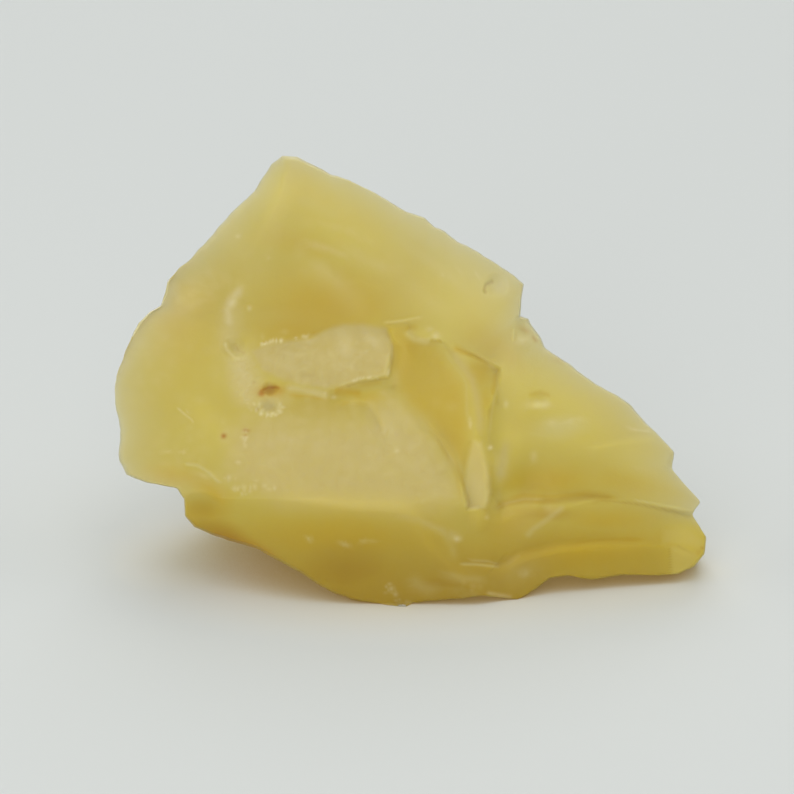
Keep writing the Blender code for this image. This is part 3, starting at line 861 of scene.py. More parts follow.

# Where the stone broke frosted, with painted glow where it is thin and painted shade where it is deep
FIELD_MARKS: tuple[Mark, ...] = (
    Patch(((-18.0, 5.9), (-16.4, 6.7), (-14.5, 7.0), (-10.9, 7.5), (-9.1, 8.4), (-7.0, 9.1), (-4.6, 9.1),
          (-1.7, 8.6), (-1.1, 7.1), (-1.0, 5.4), (-1.5, 2.8), (-4.5, 2.3), (-6.1, 1.8), (-8.8, 1.4),
          (-11.5, 1.8), (-14.5, 2.6), (-16.6, 3.6)), soft=0.5, rough=0.08, grain=0.9, frost=1.0),
    Cloud((-6.6, 6.6), (1.0, 1.7), turn=15.0, chalk=0.22),
    Cloud((-3.4, 7.2), (1.5, 0.8), turn=-50.0, chalk=0.2),
    Cloud((-7.0, 4.3), (0.9, 0.7), chalk=0.14),
    Crumbs(((-16.0, 5.0), (-10.0, 4.6), (-3.0, 5.5)), spread=1.2, count=60, grain=0.45, seed=17,
           rise=0.02, chalk=0.13),
    Crumbs(((-17.0, -5.0), (-9.0, -4.0), (-1.0, -4.5), (3.0, -8.0)), spread=2.4, count=110, grain=0.8,
           seed=18, rise=0.02, chalk=0.09),
    Cloud((-1.2, -3.5), (1.6, 3.2), turn=15.0, chalk=0.1),
    # Painted shade and amber along the face's top, under the groove
    Cloud((-9.5, -0.9), (8.0, 2.0), deep=0.35),
    Cloud((-3.6, 0.2), (2.2, 0.9), amber=0.6),
    Streak(((-16.2, 5.2), (-13.6, 4.0), (-11.4, 2.9)), 0.6, taper=0.4, chalk=0.12),
    Streak(((-15.6, 6.2), (-12.8, 5.4), (-10.2, 5.6)), 0.4, taper=0.4, chalk=0.14),
    # Painted glow on the flake
    Cloud((-13.5, 5.4), (3.5, 1.0), turn=-25.0, glow=0.3),
    Patch(((-16.0, -2.4), (-8.0, -2.8), (-4.5, -2.6), (-1.2, 0.4), (2.6, -2.6), (3.8, -4.6), (5.7, -7.8),
          (7.0, -11.5), (4.0, -12.8), (-5.3, -12.3), (-14.4, -12.3), (-20.0, -9.5), (-20.5, -4.0)),
          soft=2.5, rough=0.07, grain=1.1, frost=0.9),
    Patch(((-20.0, 6.7), (-18.2, 5.8), (-17.3, 3.6), (-16.7, 1.9), (-17.9, -0.6), (-19.4, 0.0),
          (-20.4, 2.4), (-20.8, 4.8)), soft=1.6, rough=0.08, grain=0.5, chalk=0.22, frost=0.7),
    Cloud((-20.6, 8.6), (1.4, 3.4), turn=-8.0, frost=0.6, chalk=0.1),
    Cloud((14.8, -14.8), (2.2, 2.8), turn=-35.0, frost=0.2),
    # Painted glow where the stone is thin, and a frosted streak beside the tongue
    Cloud((-5.0, 20.5), (10.0, 5.0), turn=-30.0, glow=0.8),
    Cloud((6.5, 12.5), (8.0, 5.5), turn=-40.0, glow=0.8),
    Cloud((10.8, 6.8), (3.5, 2.0), turn=-25.0, glow=0.7, amber=0.75),
    Cloud((19.0, 0.5), (9.0, 4.0), turn=-35.0, glow=0.7),
    Cloud((13.2, -6.5), (1.6, 4.0), glow=0.4),
    Streak(((12.1, -5.5), (12.1, -8.0), (11.9, -11.0)), 1.1, taper=0.4, chalk=0.1, glow=1.0, amber=0.3),
    Streak(((12.9, -4.0), (12.4, -7.5), (11.8, -10.5)), 0.6, taper=0.3, frost=0.5, pale=0.1),
    Cloud((29.0, -8.5), (5.0, 3.0), turn=-30.0, glow=0.5),
    Cloud((34.8, -17.8), (3.0, 3.0), glow=1.0),
    Cloud((-14.0, 25.0), (4.5, 3.5), glow=0.6),
    # Veils inside the stone, with painted glow and amber among them
    Streak(((-17.0, 25.5), (-12.0, 24.2), (-6.7, 22.4), (-2.5, 20.0)), 1.4, taper=0.4, pale=0.16,
           glow=0.5),
    Streak(((-19.5, 20.4), (-12.0, 18.8), (-4.8, 16.6)), 1.5, taper=0.4, amber=0.4),
    Streak(((-13.4, 19.6), (-8.5, 18.2), (-4.6, 16.7)), 0.5, taper=0.4, chalk=0.18),
    Streak(((-12.5, 17.4), (-9.0, 15.6), (-5.0, 12.4)), 0.8, taper=0.4, chalk=0.1, pale=0.1),
    Streak(((-9.5, 20.0), (-4.0, 17.0), (1.5, 14.6)), 0.9, taper=0.4, chalk=0.12),
    Streak(((-2.0, 20.6), (4.0, 16.6), (10.0, 11.6)), 0.7, taper=0.4, chalk=0.1),
    Streak(((-12.0, 22.0), (-6.0, 20.4), (-1.0, 18.0)), 0.5, taper=0.4, chalk=0.12),
    Crumbs(((-28.0, 12.6), (-24.5, 14.0), (-20.5, 14.4)), spread=0.7, count=18, grain=0.6, seed=15,
           chalk=0.16),
    Crumbs(((-26.0, 4.0), (-22.0, 10.0), (-18.0, 17.0), (-8.0, 21.0), (4.0, 16.0)), spread=2.5, count=40,
           grain=1.1, seed=16, chalk=0.07),
    Streak(((-29.2, 11.4), (-25.5, 13.1), (-21.6, 14.0)), 0.7, taper=0.4, pale=0.3),
    Streak(((-28.5, 9.9), (-24.3, 12.1), (-20.5, 12.8)), 0.5, taper=0.4, chalk=0.1),
    Streak(((-27.0, 15.5), (-23.0, 18.0), (-19.0, 21.5)), 1.2, taper=0.4, pale=0.2),
    Streak(((-3.0, 22.0), (3.0, 18.0), (9.0, 14.5)), 1.6, taper=0.4, pale=0.25),
    Streak(((-9.5, 13.5), (-5.0, 14.5), (0.5, 12.5)), 0.8, taper=0.4, glow=0.4),
    Streak(((-1.5, 16.5), (3.5, 12.0), (8.0, 9.5)), 1.0, taper=0.4, chalk=0.06),
    Streak(((-0.8, 0.6), (-0.4, -2.4), (-0.2, -6.0), (0.4, -9.5)), 1.0, taper=0.3, glow=0.45, pale=0.12),
    Streak(((-14.0, -3.0), (-9.0, -6.5), (-3.0, -9.0)), 1.2, taper=0.4, glow=0.35),
    Streak(((-26.0, 1.5), (-22.5, -3.0), (-18.0, -6.5)), 1.2, taper=0.4, glow=0.3),
    Streak(((20.0, 1.5), (25.0, -3.0), (30.0, -8.0)), 1.0, taper=0.4, pale=0.2),
    Crumbs(((-31.0, 7.0), (-29.0, 0.0), (-26.0, -6.0), (-20.0, -5.0)), spread=2.2, count=70, grain=0.7,
           seed=19, rise=0.015, chalk=0.08),
    # Painted shade at the notch on the upper left
    Cloud((-27.6, 11.6), (1.8, 3.0), turn=-20.0, deep=0.35),
    # Painted amber where light gathers in the hollows, and painted shade low down where the stone turns
    # under
    Cloud((-8.5, 11.2), (8.5, 4.5), amber=0.95),
    Cloud((-12.5, 8.6), (5.5, 2.6), amber=0.85, deep=0.15),
    Cloud((-24.5, 8.5), (4.0, 5.5), turn=-40.0, amber=0.35),
    Patch(((-1.6, 8.7), (0.6, 8.9), (1.4, 7.6), (4.6, 6.8), (6.0, 4.2), (7.6, 2.0), (8.0, -2.0),
          (8.2, -5.0), (7.6, -8.0), (6.6, -7.0), (3.6, -3.0), (1.0, -0.5), (-0.8, 2.0)), soft=1.2,
          amber=0.7),
    Cloud((1.0, 6.0), (1.6, 3.0), deep=0.2),
    Cloud((5.8, -4.6), (1.4, 2.4), turn=35.0, deep=0.2),
    Cloud((10.0, 3.6), (2.0, 1.8), amber=1.0),
    Cloud((10.4, 0.0), (0.9, 2.5), amber=0.5),
    Cloud((17.5, -9.8), (6.5, 2.0), amber=0.9),
    Cloud((27.0, -10.0), (5.0, 1.6), turn=-10.0, amber=0.6),
    Cloud((22.0, -18.5), (13.0, 3.6), amber=0.95),
    Cloud((25.0, -14.5), (6.0, 1.6), amber=0.8),
    Cloud((13.5, -15.0), (4.5, 2.6), amber=0.8),
    Cloud((-6.5, -20.5), (8.0, 4.0), deep=1.0, amber=0.8),
    Cloud((-7.0, -16.5), (12.0, 3.5), amber=0.9),
    Cloud((-23.8, -13.4), (3.0, 1.8), deep=0.5, amber=0.8),
    Cloud((-21.5, -16.4), (5.0, 1.8), turn=-22.0, deep=1.0, amber=1.0),
    Streak(((-28.0, -9.0), (-25.5, -9.3), (-23.4, -10.2), (-21.3, -11.8), (-19.5, -13.2)), 1.1,
           taper=0.3, amber=0.9),
    Cloud((-27.4, -9.2), (3.2, 1.2), turn=-6.0, glow=0.4, amber=0.9),
    Streak(((-23.6, -15.6), (-21.0, -16.6), (-17.6, -17.6), (-14.0, -19.5)), 0.7, taper=0.25, amber=1.0,
           rust=0.35),
)

# Chips, crumbs, stains, scratches and specks, with painted shade in the dents and chips and a painted
# glow in the pit
WEAR_MARKS: tuple[Mark, ...] = (
    # The pit, stained along its top, painted amber and glowing inside, and crumbled under it
    Cloud((-15.6, 1.1), (1.5, 0.7), amber=1.0, rust=0.5),
    Streak(((-17.1, 0.5), (-16.7, 1.1), (-15.8, 1.5), (-14.8, 1.5), (-14.1, 1.2)), 0.24, taper=0.2,
           rise=-0.06, rust=0.75),
    Cloud((-16.6, 0.8), (0.45, 0.4), rust=0.9),
    Streak(((-15.6, 0.9), (-14.2, 0.9)), 0.2, taper=0.4, glow=1.0),
    Cloud((-15.8, -0.6), (1.5, 1.1), pale=0.45, frost=0.5),
    Crumbs(((-17.2, -0.2), (-16.8, -1.2), (-15.8, -1.9), (-14.7, -1.4), (-14.2, -0.4)), spread=0.2,
           count=26, seed=2, rise=0.07, chalk=0.45),
    Crumbs(((-18.3, 0.9), (-17.7, -1.2)), spread=0.35, count=12, seed=3, rise=0.05, chalk=0.35),
    Crumbs(((-18.6, -3.2), (-18.5, -5.6)), spread=0.2, count=12, seed=4, rise=0.04, chalk=0.4),
    Crumbs(((-18.7, -3.2), (-18.2, -4.4)), spread=0.15, count=3, seed=5, rust=0.7),
    # Small dents, three darkened with painted shade and one rust-stained
    Cloud((-17.6, 2.1), (0.22, 0.22), rise=-0.08, deep=0.8),
    Cloud((-17.1, -1.1), (0.3, 0.3), rise=-0.1, deep=0.8),
    Cloud((-21.1, -4.3), (0.32, 0.3), rise=-0.1, rust=0.8),
    Cloud((-18.5, -3.6), (0.26, 0.22), rise=-0.05, deep=0.7),
    # Crumbs along the flake's top
    Crumbs(((-17.0, 6.7), (-15.6, 7.1), (-14.2, 7.2)), spread=0.1, count=14, grain=0.2, seed=6,
           rise=0.06, chalk=0.6),
    Crumbs(((-12.7, 7.4), (-11.9, 7.6), (-11.0, 7.9)), spread=0.1, count=7, grain=0.2, seed=7, rise=0.06,
           chalk=0.5),
    # The vein and the crescent chip beside the flake, with painted amber in the chip's hollow
    Streak(((-18.9, 13.8), (-19.4, 13.2), (-20.4, 12.2), (-20.8, 10.9), (-20.7, 9.7), (-20.2, 8.6)), 0.6,
           chalk=0.32, frost=0.5),
    Cloud((-20.3, 11.7), (0.6, 1.0), turn=-30.0, rise=0.05, chalk=0.45),
    Cloud((-19.6, 13.2), (0.5, 0.9), turn=-45.0, chalk=0.3),
    Cloud((-20.7, 9.8), (0.6, 1.4), chalk=0.22),
    Cloud((-18.2, 11.1), (0.3, 0.35), rise=0.05, chalk=0.3),
    Streak(((-21.2, 7.2), (-20.9, 6.1), (-20.0, 5.1), (-19.0, 5.2)), 0.25, rise=0.12, chalk=0.3),
    Streak(((-20.2, 7.0), (-19.6, 6.1), (-18.8, 5.5)), 0.2, rise=-0.08, amber=0.4),
    # Chips and stains by the slab's right corner, with painted shade and amber in the chips
    Streak(((11.4, 14.4), (10.4, 13.9), (10.2, 13.3), (10.4, 12.7)), 0.2, rise=-0.12, deep=0.5),
    Cloud((11.9, 13.7), (1.3, 1.1), pale=0.4, chalk=0.3),
    Cloud((15.1, 8.4), (0.8, 0.35), turn=-30.0, rise=-0.08, amber=1.0, rust=0.12),
    Streak(((15.8, 7.9), (16.7, 6.8)), 0.25, taper=0.4, rise=-0.05, amber=1.0, rust=0.2),
    Cloud((14.9, 7.2), (0.9, 0.6), rise=0.12, chalk=0.25),
    Cloud((18.9, 4.8), (0.6, 0.35), rust=0.2),
    # The chip on the block: painted shade at its top, painted light below
    Streak(((15.3, 0.6), (16.8, 0.9), (18.3, 0.5)), 0.3, amber=0.6),
    Cloud((16.7, -0.6), (1.4, 0.5), rise=0.04, glow=1.0, chalk=0.4),
    Cloud((12.8, -0.5), (0.3, 0.5), rise=0.03, chalk=0.22),
    Cloud((18.4, -2.8), (0.6, 0.4), chalk=0.25),
    Cloud((19.6, -3.2), (3.6, 1.5), turn=10.0, pale=0.35),
    Streak(((19.5, -3.0), (20.6, -2.5), (22.7, -2.2)), 0.2, chalk=0.25),
    Streak(((27.5, -3.5), (30.5, -3.8)), 0.18, chalk=0.3),
    Streak(((28.2, -8.2), (30.4, -8.6)), 0.15, chalk=0.2),
    Cloud((16.1, -6.8), (0.4, 0.6), chalk=0.25),
    # Scratches and specks on the left
    Streak(((-27.0, -0.8), (-25.9, -1.7), (-25.1, -2.3), (-24.6, -2.9)), 0.14, rise=-0.03, chalk=0.28),
    Streak(((-25.9, -1.1), (-25.0, -1.9)), 0.12, taper=0.3, chalk=0.2),
    Cloud((-28.1, -6.2), (0.35, 0.25), chalk=0.35),
    Cloud((-25.9, -6.2), (0.3, 0.25), chalk=0.3),
    Cloud((-19.2, -7.4), (0.35, 0.25), chalk=0.35),
    Cloud((-23.5, -9.0), (0.9, 0.35), turn=-20.0, chalk=0.18),
    Cloud((-21.2, -11.3), (0.9, 0.6), turn=-40.0, frost=0.3),
    Crumbs(((-21.0, -9.6), (-18.4, -10.6), (-15.0, -10.5)), spread=0.45, count=20, grain=0.3, seed=8,
           rise=0.04, chalk=0.3),
    # Specks on the slab and face
    Streak(((7.1, 15.4), (7.6, 15.2)), 0.2, taper=0.5, chalk=0.4),
    Streak(((9.0, 15.2), (9.7, 14.8)), 0.2, taper=0.5, chalk=0.35),
    Cloud((5.1, 15.2), (0.25, 0.25), chalk=0.35),
    Cloud((-19.6, 19.8), (0.3, 0.25), chalk=0.3),
    Cloud((-16.0, 17.2), (0.3, 0.2), chalk=0.25),
    Streak(((-24.2, 13.6), (-22.1, 14.1), (-19.9, 14.5)), 0.2, chalk=0.15),
    Cloud((-0.4, -6.1), (0.35, 0.3), chalk=0.35),
    Cloud((6.8, -16.5), (0.5, 0.4), rise=0.06, chalk=0.35),
    Cloud((6.2, -16.0), (0.7, 0.6), frost=0.6),
    Cloud((10.4, -14.1), (0.3, 0.25), chalk=0.15),
    Cloud((17.9, -13.1), (0.7, 0.6), chalk=0.1),
    # Scuffs and crumbs low down, with painted shade in the dents and along the foot
    Cloud((-10.9, -16.6), (0.5, 0.2), turn=-30.0, chalk=0.3),
    Cloud((-6.6, -17.2), (0.7, 0.22), turn=-20.0, chalk=0.3),
    Cloud((-4.4, -16.8), (0.4, 0.2), turn=30.0, chalk=0.25),
    Cloud((-3.3, -16.8), (0.3, 0.2), chalk=0.25),
    Cloud((-8.8, -21.5), (0.3, 0.4), rise=-0.06, deep=1.0),
    Crumbs(((-2.0, -22.3), (-0.4, -22.9)), spread=0.3, count=12, seed=9, rise=0.03, chalk=0.25),
    Crumbs(((-1.8, -22.5), (-0.6, -22.7)), spread=0.2, count=4, seed=10, rise=-0.06, deep=1.0),
    Crumbs(((-0.6, -24.2), (1.5, -24.2)), spread=0.2, count=8, seed=11, rise=0.03, chalk=0.25),
    Streak(((0.4, -21.0), (2.5, -22.4), (5.0, -23.2)), 0.7, taper=0.3, frost=0.25, pale=0.08),
    Streak(((4.5, -20.6), (7.5, -21.4), (11.0, -21.6)), 0.5, taper=0.3, frost=0.25, pale=0.06),
    Crumbs(((6.0, -22.0), (10.0, -23.0)), spread=0.9, count=20, grain=0.4, seed=12, frost=0.3),
    Cloud((14.9, -20.8), (0.6, 0.5), chalk=0.2),
    Cloud((14.5, -20.5), (3.0, 1.6), turn=20.0, frost=0.25),
    Cloud((16.2, -23.2), (2.4, 0.7), turn=25.0, deep=1.0),
    Cloud((5.0, -22.0), (6.0, 1.6), deep=1.0),
    Streak(((10.2, -23.0), (11.8, -23.4), (13.6, -23.7)), 0.3, rise=0.06, chalk=0.2),
    Cloud((36.7, -18.0), (0.2, 0.2), rust=0.4),
    Cloud((36.2, -18.5), (0.2, 0.3), rust=0.25),
)


@dataclass
class OpalStone:
    """The whole stone: the one piece there is."""

    form: StoneForm = field(default_factory=StoneForm)
    marks: tuple[Mark, ...] = LIP_MARKS + FIELD_MARKS + WEAR_MARKS
    node: str = "opal_stone"
    slot: str = "yellow_opal"
    edge_reach: tuple[float, float] = (3.0, 4.5)  # how far in the edges are painted paler, at left and at right
    edge_foot: tuple[float, float] = (-13.0, -17.0)  # the lowest v at which they are, likewise
    broad_reach: float = 1.5  # how far the broad face's tones run on over the rim
    skin_reach: float = 0.5  # how far in the very edge is painted: paler, and darker at the upper left
    thin_reach: float = 3.0  # how far in the stone is thin
    # What clouds the back: each tone's strength, its clouds' size and the noise they stand above
    back_clouds: Mapping[Tone, tuple[float, float, float]] = field(
        default_factory=lambda: {
            Tone.AMBER: (0.6, 16.0, -0.1),
            Tone.GLOW: (0.6, 11.0, 0.0),
            Tone.FROST: (0.8, 9.0, 0.0),
            Tone.CHALK: (0.16, 6.0, 0.1),
        }
    )
    # Where blows fell on the back (u, v), and how far their ripples ran
    blows: tuple[tuple[float, float, float], ...] = (
        (-17.0, 27.0, 15.0), (10.0, 20.0, 13.0), (-36.0, -4.0, 13.0), (34.0, -8.0, 11.0),
    )
    ripple: tuple[float, float] = (0.06, 2.4)  # the ripples' height and pitch, in millimetres
    ball_cuts: int = 223  # odd, so that the ball has a ring of edges on its rim
    triangles: int = 190_000
    middle: Array = field(init=False, default_factory=lambda: np.zeros(3))  # where it is centred from

    def ball(self) -> bpy.types.Mesh:
        """Makes a ball from a subdivided cube, so that a ring of its edges runs along the rim.

        Returns:
            The ball's mesh, still in the shape of the cube.
        """
        bm = bmesh.new()
        bmesh.ops.create_cube(bm, size=2.0)
        bmesh.ops.subdivide_edges(bm, edges=bm.edges[:], cuts=self.ball_cuts, use_grid_fill=True)
        mesh = bpy.data.meshes.new("weathered_opal")
        bmesh.ops.triangulate(bm, faces=bm.faces[:])
        bm.to_mesh(mesh)
        bm.free()
        return mesh

    def relief(self, u: Array, v: Array) -> Array:
        """How far the broad face stands out with all that is laid over it.

        Args:
            u: Places along the broad face.
            v: Places up it.

        Returns:
            How far it stands out at each place, in millimetres.
        """
        face = self.form.broad_face(u, v)
        for scoop in self.form.face_scoops:
            face = scoop.cut(self.form.broad_face, face, u, v, Side.BROAD)
        for mark in self.marks:
            if mark.shapes:
                face = face + mark.relief(u, v)
        return face

    def ripples(self, u: Array, v: Array) -> Array:
        """The shell-shaped ripples that the blows left on the back.

        Args:
            u: Places along the broad face.
            v: Places up it.

        Returns:
            How far they stand out at each place, in millimetres.
        """
        height, pitch = self.ripple
        rise = np.zeros(len(u))
        for at_u, at_v, run in self.blows:
            far = np.hypot(u - at_u, v - at_v)
            rise += height * np.sin(2.0 * math.pi * far / pitch) * np.exp(-((far / run) ** 2))
        return rise

    def places(self, ball: Array) -> tuple[Array, Array, Array, Array]:
        """Moves each point of a unit ball out to its place on the stone.

        Args:
            ball: The points, one a row.

        Returns:
            Their places in millimetres before the stone is centred, their u and v, their
            distance in from the rim, and how much each belongs to the broad face, from 0 to 1.
        """
        form = self.form
        outward = ball[:, 1]
        spread = np.sqrt(1.0 - np.abs(outward))
        angle = np.arctan2(ball[:, 2], ball[:, 0])
        rim = form.rim_at(angle)
        chips = sum(height * waves(rim[:, :3], size, seed) for height, size, seed in form.rim_chips)
        reach = np.hypot(rim[:, 0], rim[:, 1]) + chips
        u = spread * reach * np.cos(angle)
        v = spread * reach * np.sin(angle)
        inset = (1.0 - spread) * reach
        behind = form.back(u, v)
        for scoop in form.back_scoops:
            behind = scoop.cut(form.back, behind, u, v, Side.BACK)
        behind = behind + self.ripples(u, v)
        near = turned_over(self.relief(u, v), rim[:, 2], inset, form.rounding * rim[:, 3])
        behind = lower(behind, rim[:, 2] - form.wedge * inset, 1.0)
        behind = np.minimum(behind, near - form.least_thickness)
        far = turned_over(behind, rim[:, 2], inset, form.back_rounding * rim[:, 3])
        w = np.where(outward < 0, near, far)
        places = np.outer(u, [1.0, 0.0, 0.0]) + np.outer(v, form.up) + np.outer(w, form.out)
        places[:, 2] += form.floor_drop
        places += ball * (form.skin_wave * waves(places, form.wave_size, 3))[:, None]
        places[:, 2] = np.maximum(places[:, 2], 0.0)
        broad = np.where(outward < 0, 1.0, np.exp(-inset / self.broad_reach))
        return places, np.stack([u, v], axis=1), inset, broad

    def edge_tones(self, u: Array, v: Array, inset: Array) -> dict[Tone, Array]:
        """The tones that come of where the stone is thin and where it turns under, mostly painted light
        and shade.

        Args:
            u: Places along the broad face.
            v: Places up it.
            inset: Their distance in from the rim.

        Returns:
            Every tone's strength at each place.
        """
        rightward = fade((u + 10.0) / 10.0)
        reach = mix(self.edge_reach[0], self.edge_reach[1], rightward)
        edge_foot = mix(*self.edge_foot, rightward)
        skin = np.exp(-inset / self.skin_reach)
        # Painted shade on the very rim at the upper left, darker there and less pale
        shaded_upper_left_rim = skin * fade((-22.0 - u) / 4.0) * fade((v - 2.0) / 4.0)
        # Painted shade where the stone turns under: darker towards the bottom, less so towards the tail
        # and the tip
        toward_tail = 0.45 * fade((u - 14.0) / 8.0)
        toward_tip = 0.35 * fade((u - 31.0) / 3.0)
        shaded_underside = 0.85 * fade((-11.0 - v) / 13.0) * (1.0 - toward_tail - toward_tip)
        # Painted light: paler in towards the rim, palest at the very edge, fading out low down
        edge = (0.72 + 0.28 * skin) * np.exp(-inset / reach) * fade((v - edge_foot) / 5.0)
        return {tone: np.zeros(len(u)) for tone in Tone} | {
            Tone.PALE: edge * (1.0 - 0.3 * shaded_upper_left_rim),
            Tone.DEEP: np.maximum(shaded_underside, 0.8 * shaded_upper_left_rim),
            Tone.THIN: np.exp(-((inset / self.thin_reach) ** 2)),
        }

    def lay_tones(
        self, mesh: bpy.types.Mesh, places: Array, spots: Array, inset: Array, broad: Array
    ) -> None:
        """Writes each tone to the mesh as an attribute.

        Args:
            mesh: The stone's mesh.
            places: Each vertex's place, in millimetres.
            spots: Each vertex's u and v.
            inset: Each vertex's distance in from the rim.
            broad: How much each vertex belongs to the broad face.
        """
        u, v = spots.T
        base = self.edge_tones(u, v, inset)
        for tone, (strength, size, above) in self.back_clouds.items():
            broken = waves(places, size, 7 + size) + 0.5 * waves(places, size / 2.7, 9 + size)
            cloud = fade((broken - above) / 0.5)
            base[tone] = np.maximum(base[tone], strength * (1.0 - broad) * cloud)
        for tone, laid in base.items():
            for mark in self.marks:
                if mark.strength(tone):
                    laid = np.maximum(laid, mark.strength(tone) * mark.cover(u, v) * broad)
            attribute = mesh.attributes.new(tone.value, "FLOAT", "POINT")
            attribute.data.foreach_set("value", np.clip(laid, 0.0, 1.0).astype(np.float32))

    def build(self, finish: "CommonOpal") -> bpy.types.Object:
        """Makes the stone in its place, dressed in its finish.

        Args:
            finish: What the stone is made of.

        Returns:
            The stone.
        """
        mesh = self.ball()
        cube = np.empty(len(mesh.vertices) * 3)
        mesh.vertices.foreach_get("co", cube)
        ball = np.tan(cube.reshape(-1, 3) * math.pi / 4)
        ball /= np.linalg.norm(ball, axis=1)[:, None]
        places, spots, inset, broad = self.places(ball)
        places *= MM
        self.middle = (places.min(axis=0) + places.max(axis=0)) / 2
        places -= [self.middle[0], self.middle[1], 0.0]
        mesh.vertices.foreach_set("co", places.ravel())
        mesh.update()
        self.lay_tones(mesh, places / MM, spots, inset, broad)
        mesh.materials.append(finish.material())
        stone = bpy.data.objects.new("weathered_opal", mesh)
        bpy.context.scene.collection.objects.link(stone)
        thin = stone.modifiers.new("thin", "DECIMATE")
        thin.ratio = self.triangles / len(mesh.polygons)
        mesh.shade_smooth()
        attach(stone, "root")
        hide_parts(self.node)
        return stone


# Finishes


def linear(colour: str) -> tuple[float, float, float, float]:
    """An sRGB hex colour such as "#C8BE82" as linear red, green, blue and alpha."""
    shares = [int(colour[i : i + 2], 16) / 255 for i in (1, 3, 5)]
    return (*(s / 12.92 if s <= 0.04045 else ((s + 0.055) / 1.055) ** 2.4 for s in shares), 1.0)


def add_node(
    tree: bpy.types.NodeTree, kind: str, settings: Mapping[str, object], sockets: Mapping[str, object]
) -> bpy.types.Node:
    """Adds one node with its settings and links.

    Args:
        tree: The node tree.
        kind: The node's type name.
        settings: The node's own properties.
        sockets: What goes into its inputs, by name or identifier: a value, or a socket to link.

    Returns:
        The new node.
    """
    node = tree.nodes.new(kind)
    for name, value in settings.items():
        setattr(node, name, value)
    for name, value in sockets.items():
        socket = next(s for s in node.inputs if s.enabled and name in (s.identifier, s.name))
        if isinstance(value, bpy.types.NodeSocket):
            tree.links.new(value, socket)
        else:
            socket.default_value = value
    return node


@dataclass(frozen=True)
class Wash:
    """One tone of a finish: its colour, and how strongly which pattern makes it come and go."""

    tone: Tone
    colour: str
    pattern: str
    swing: float


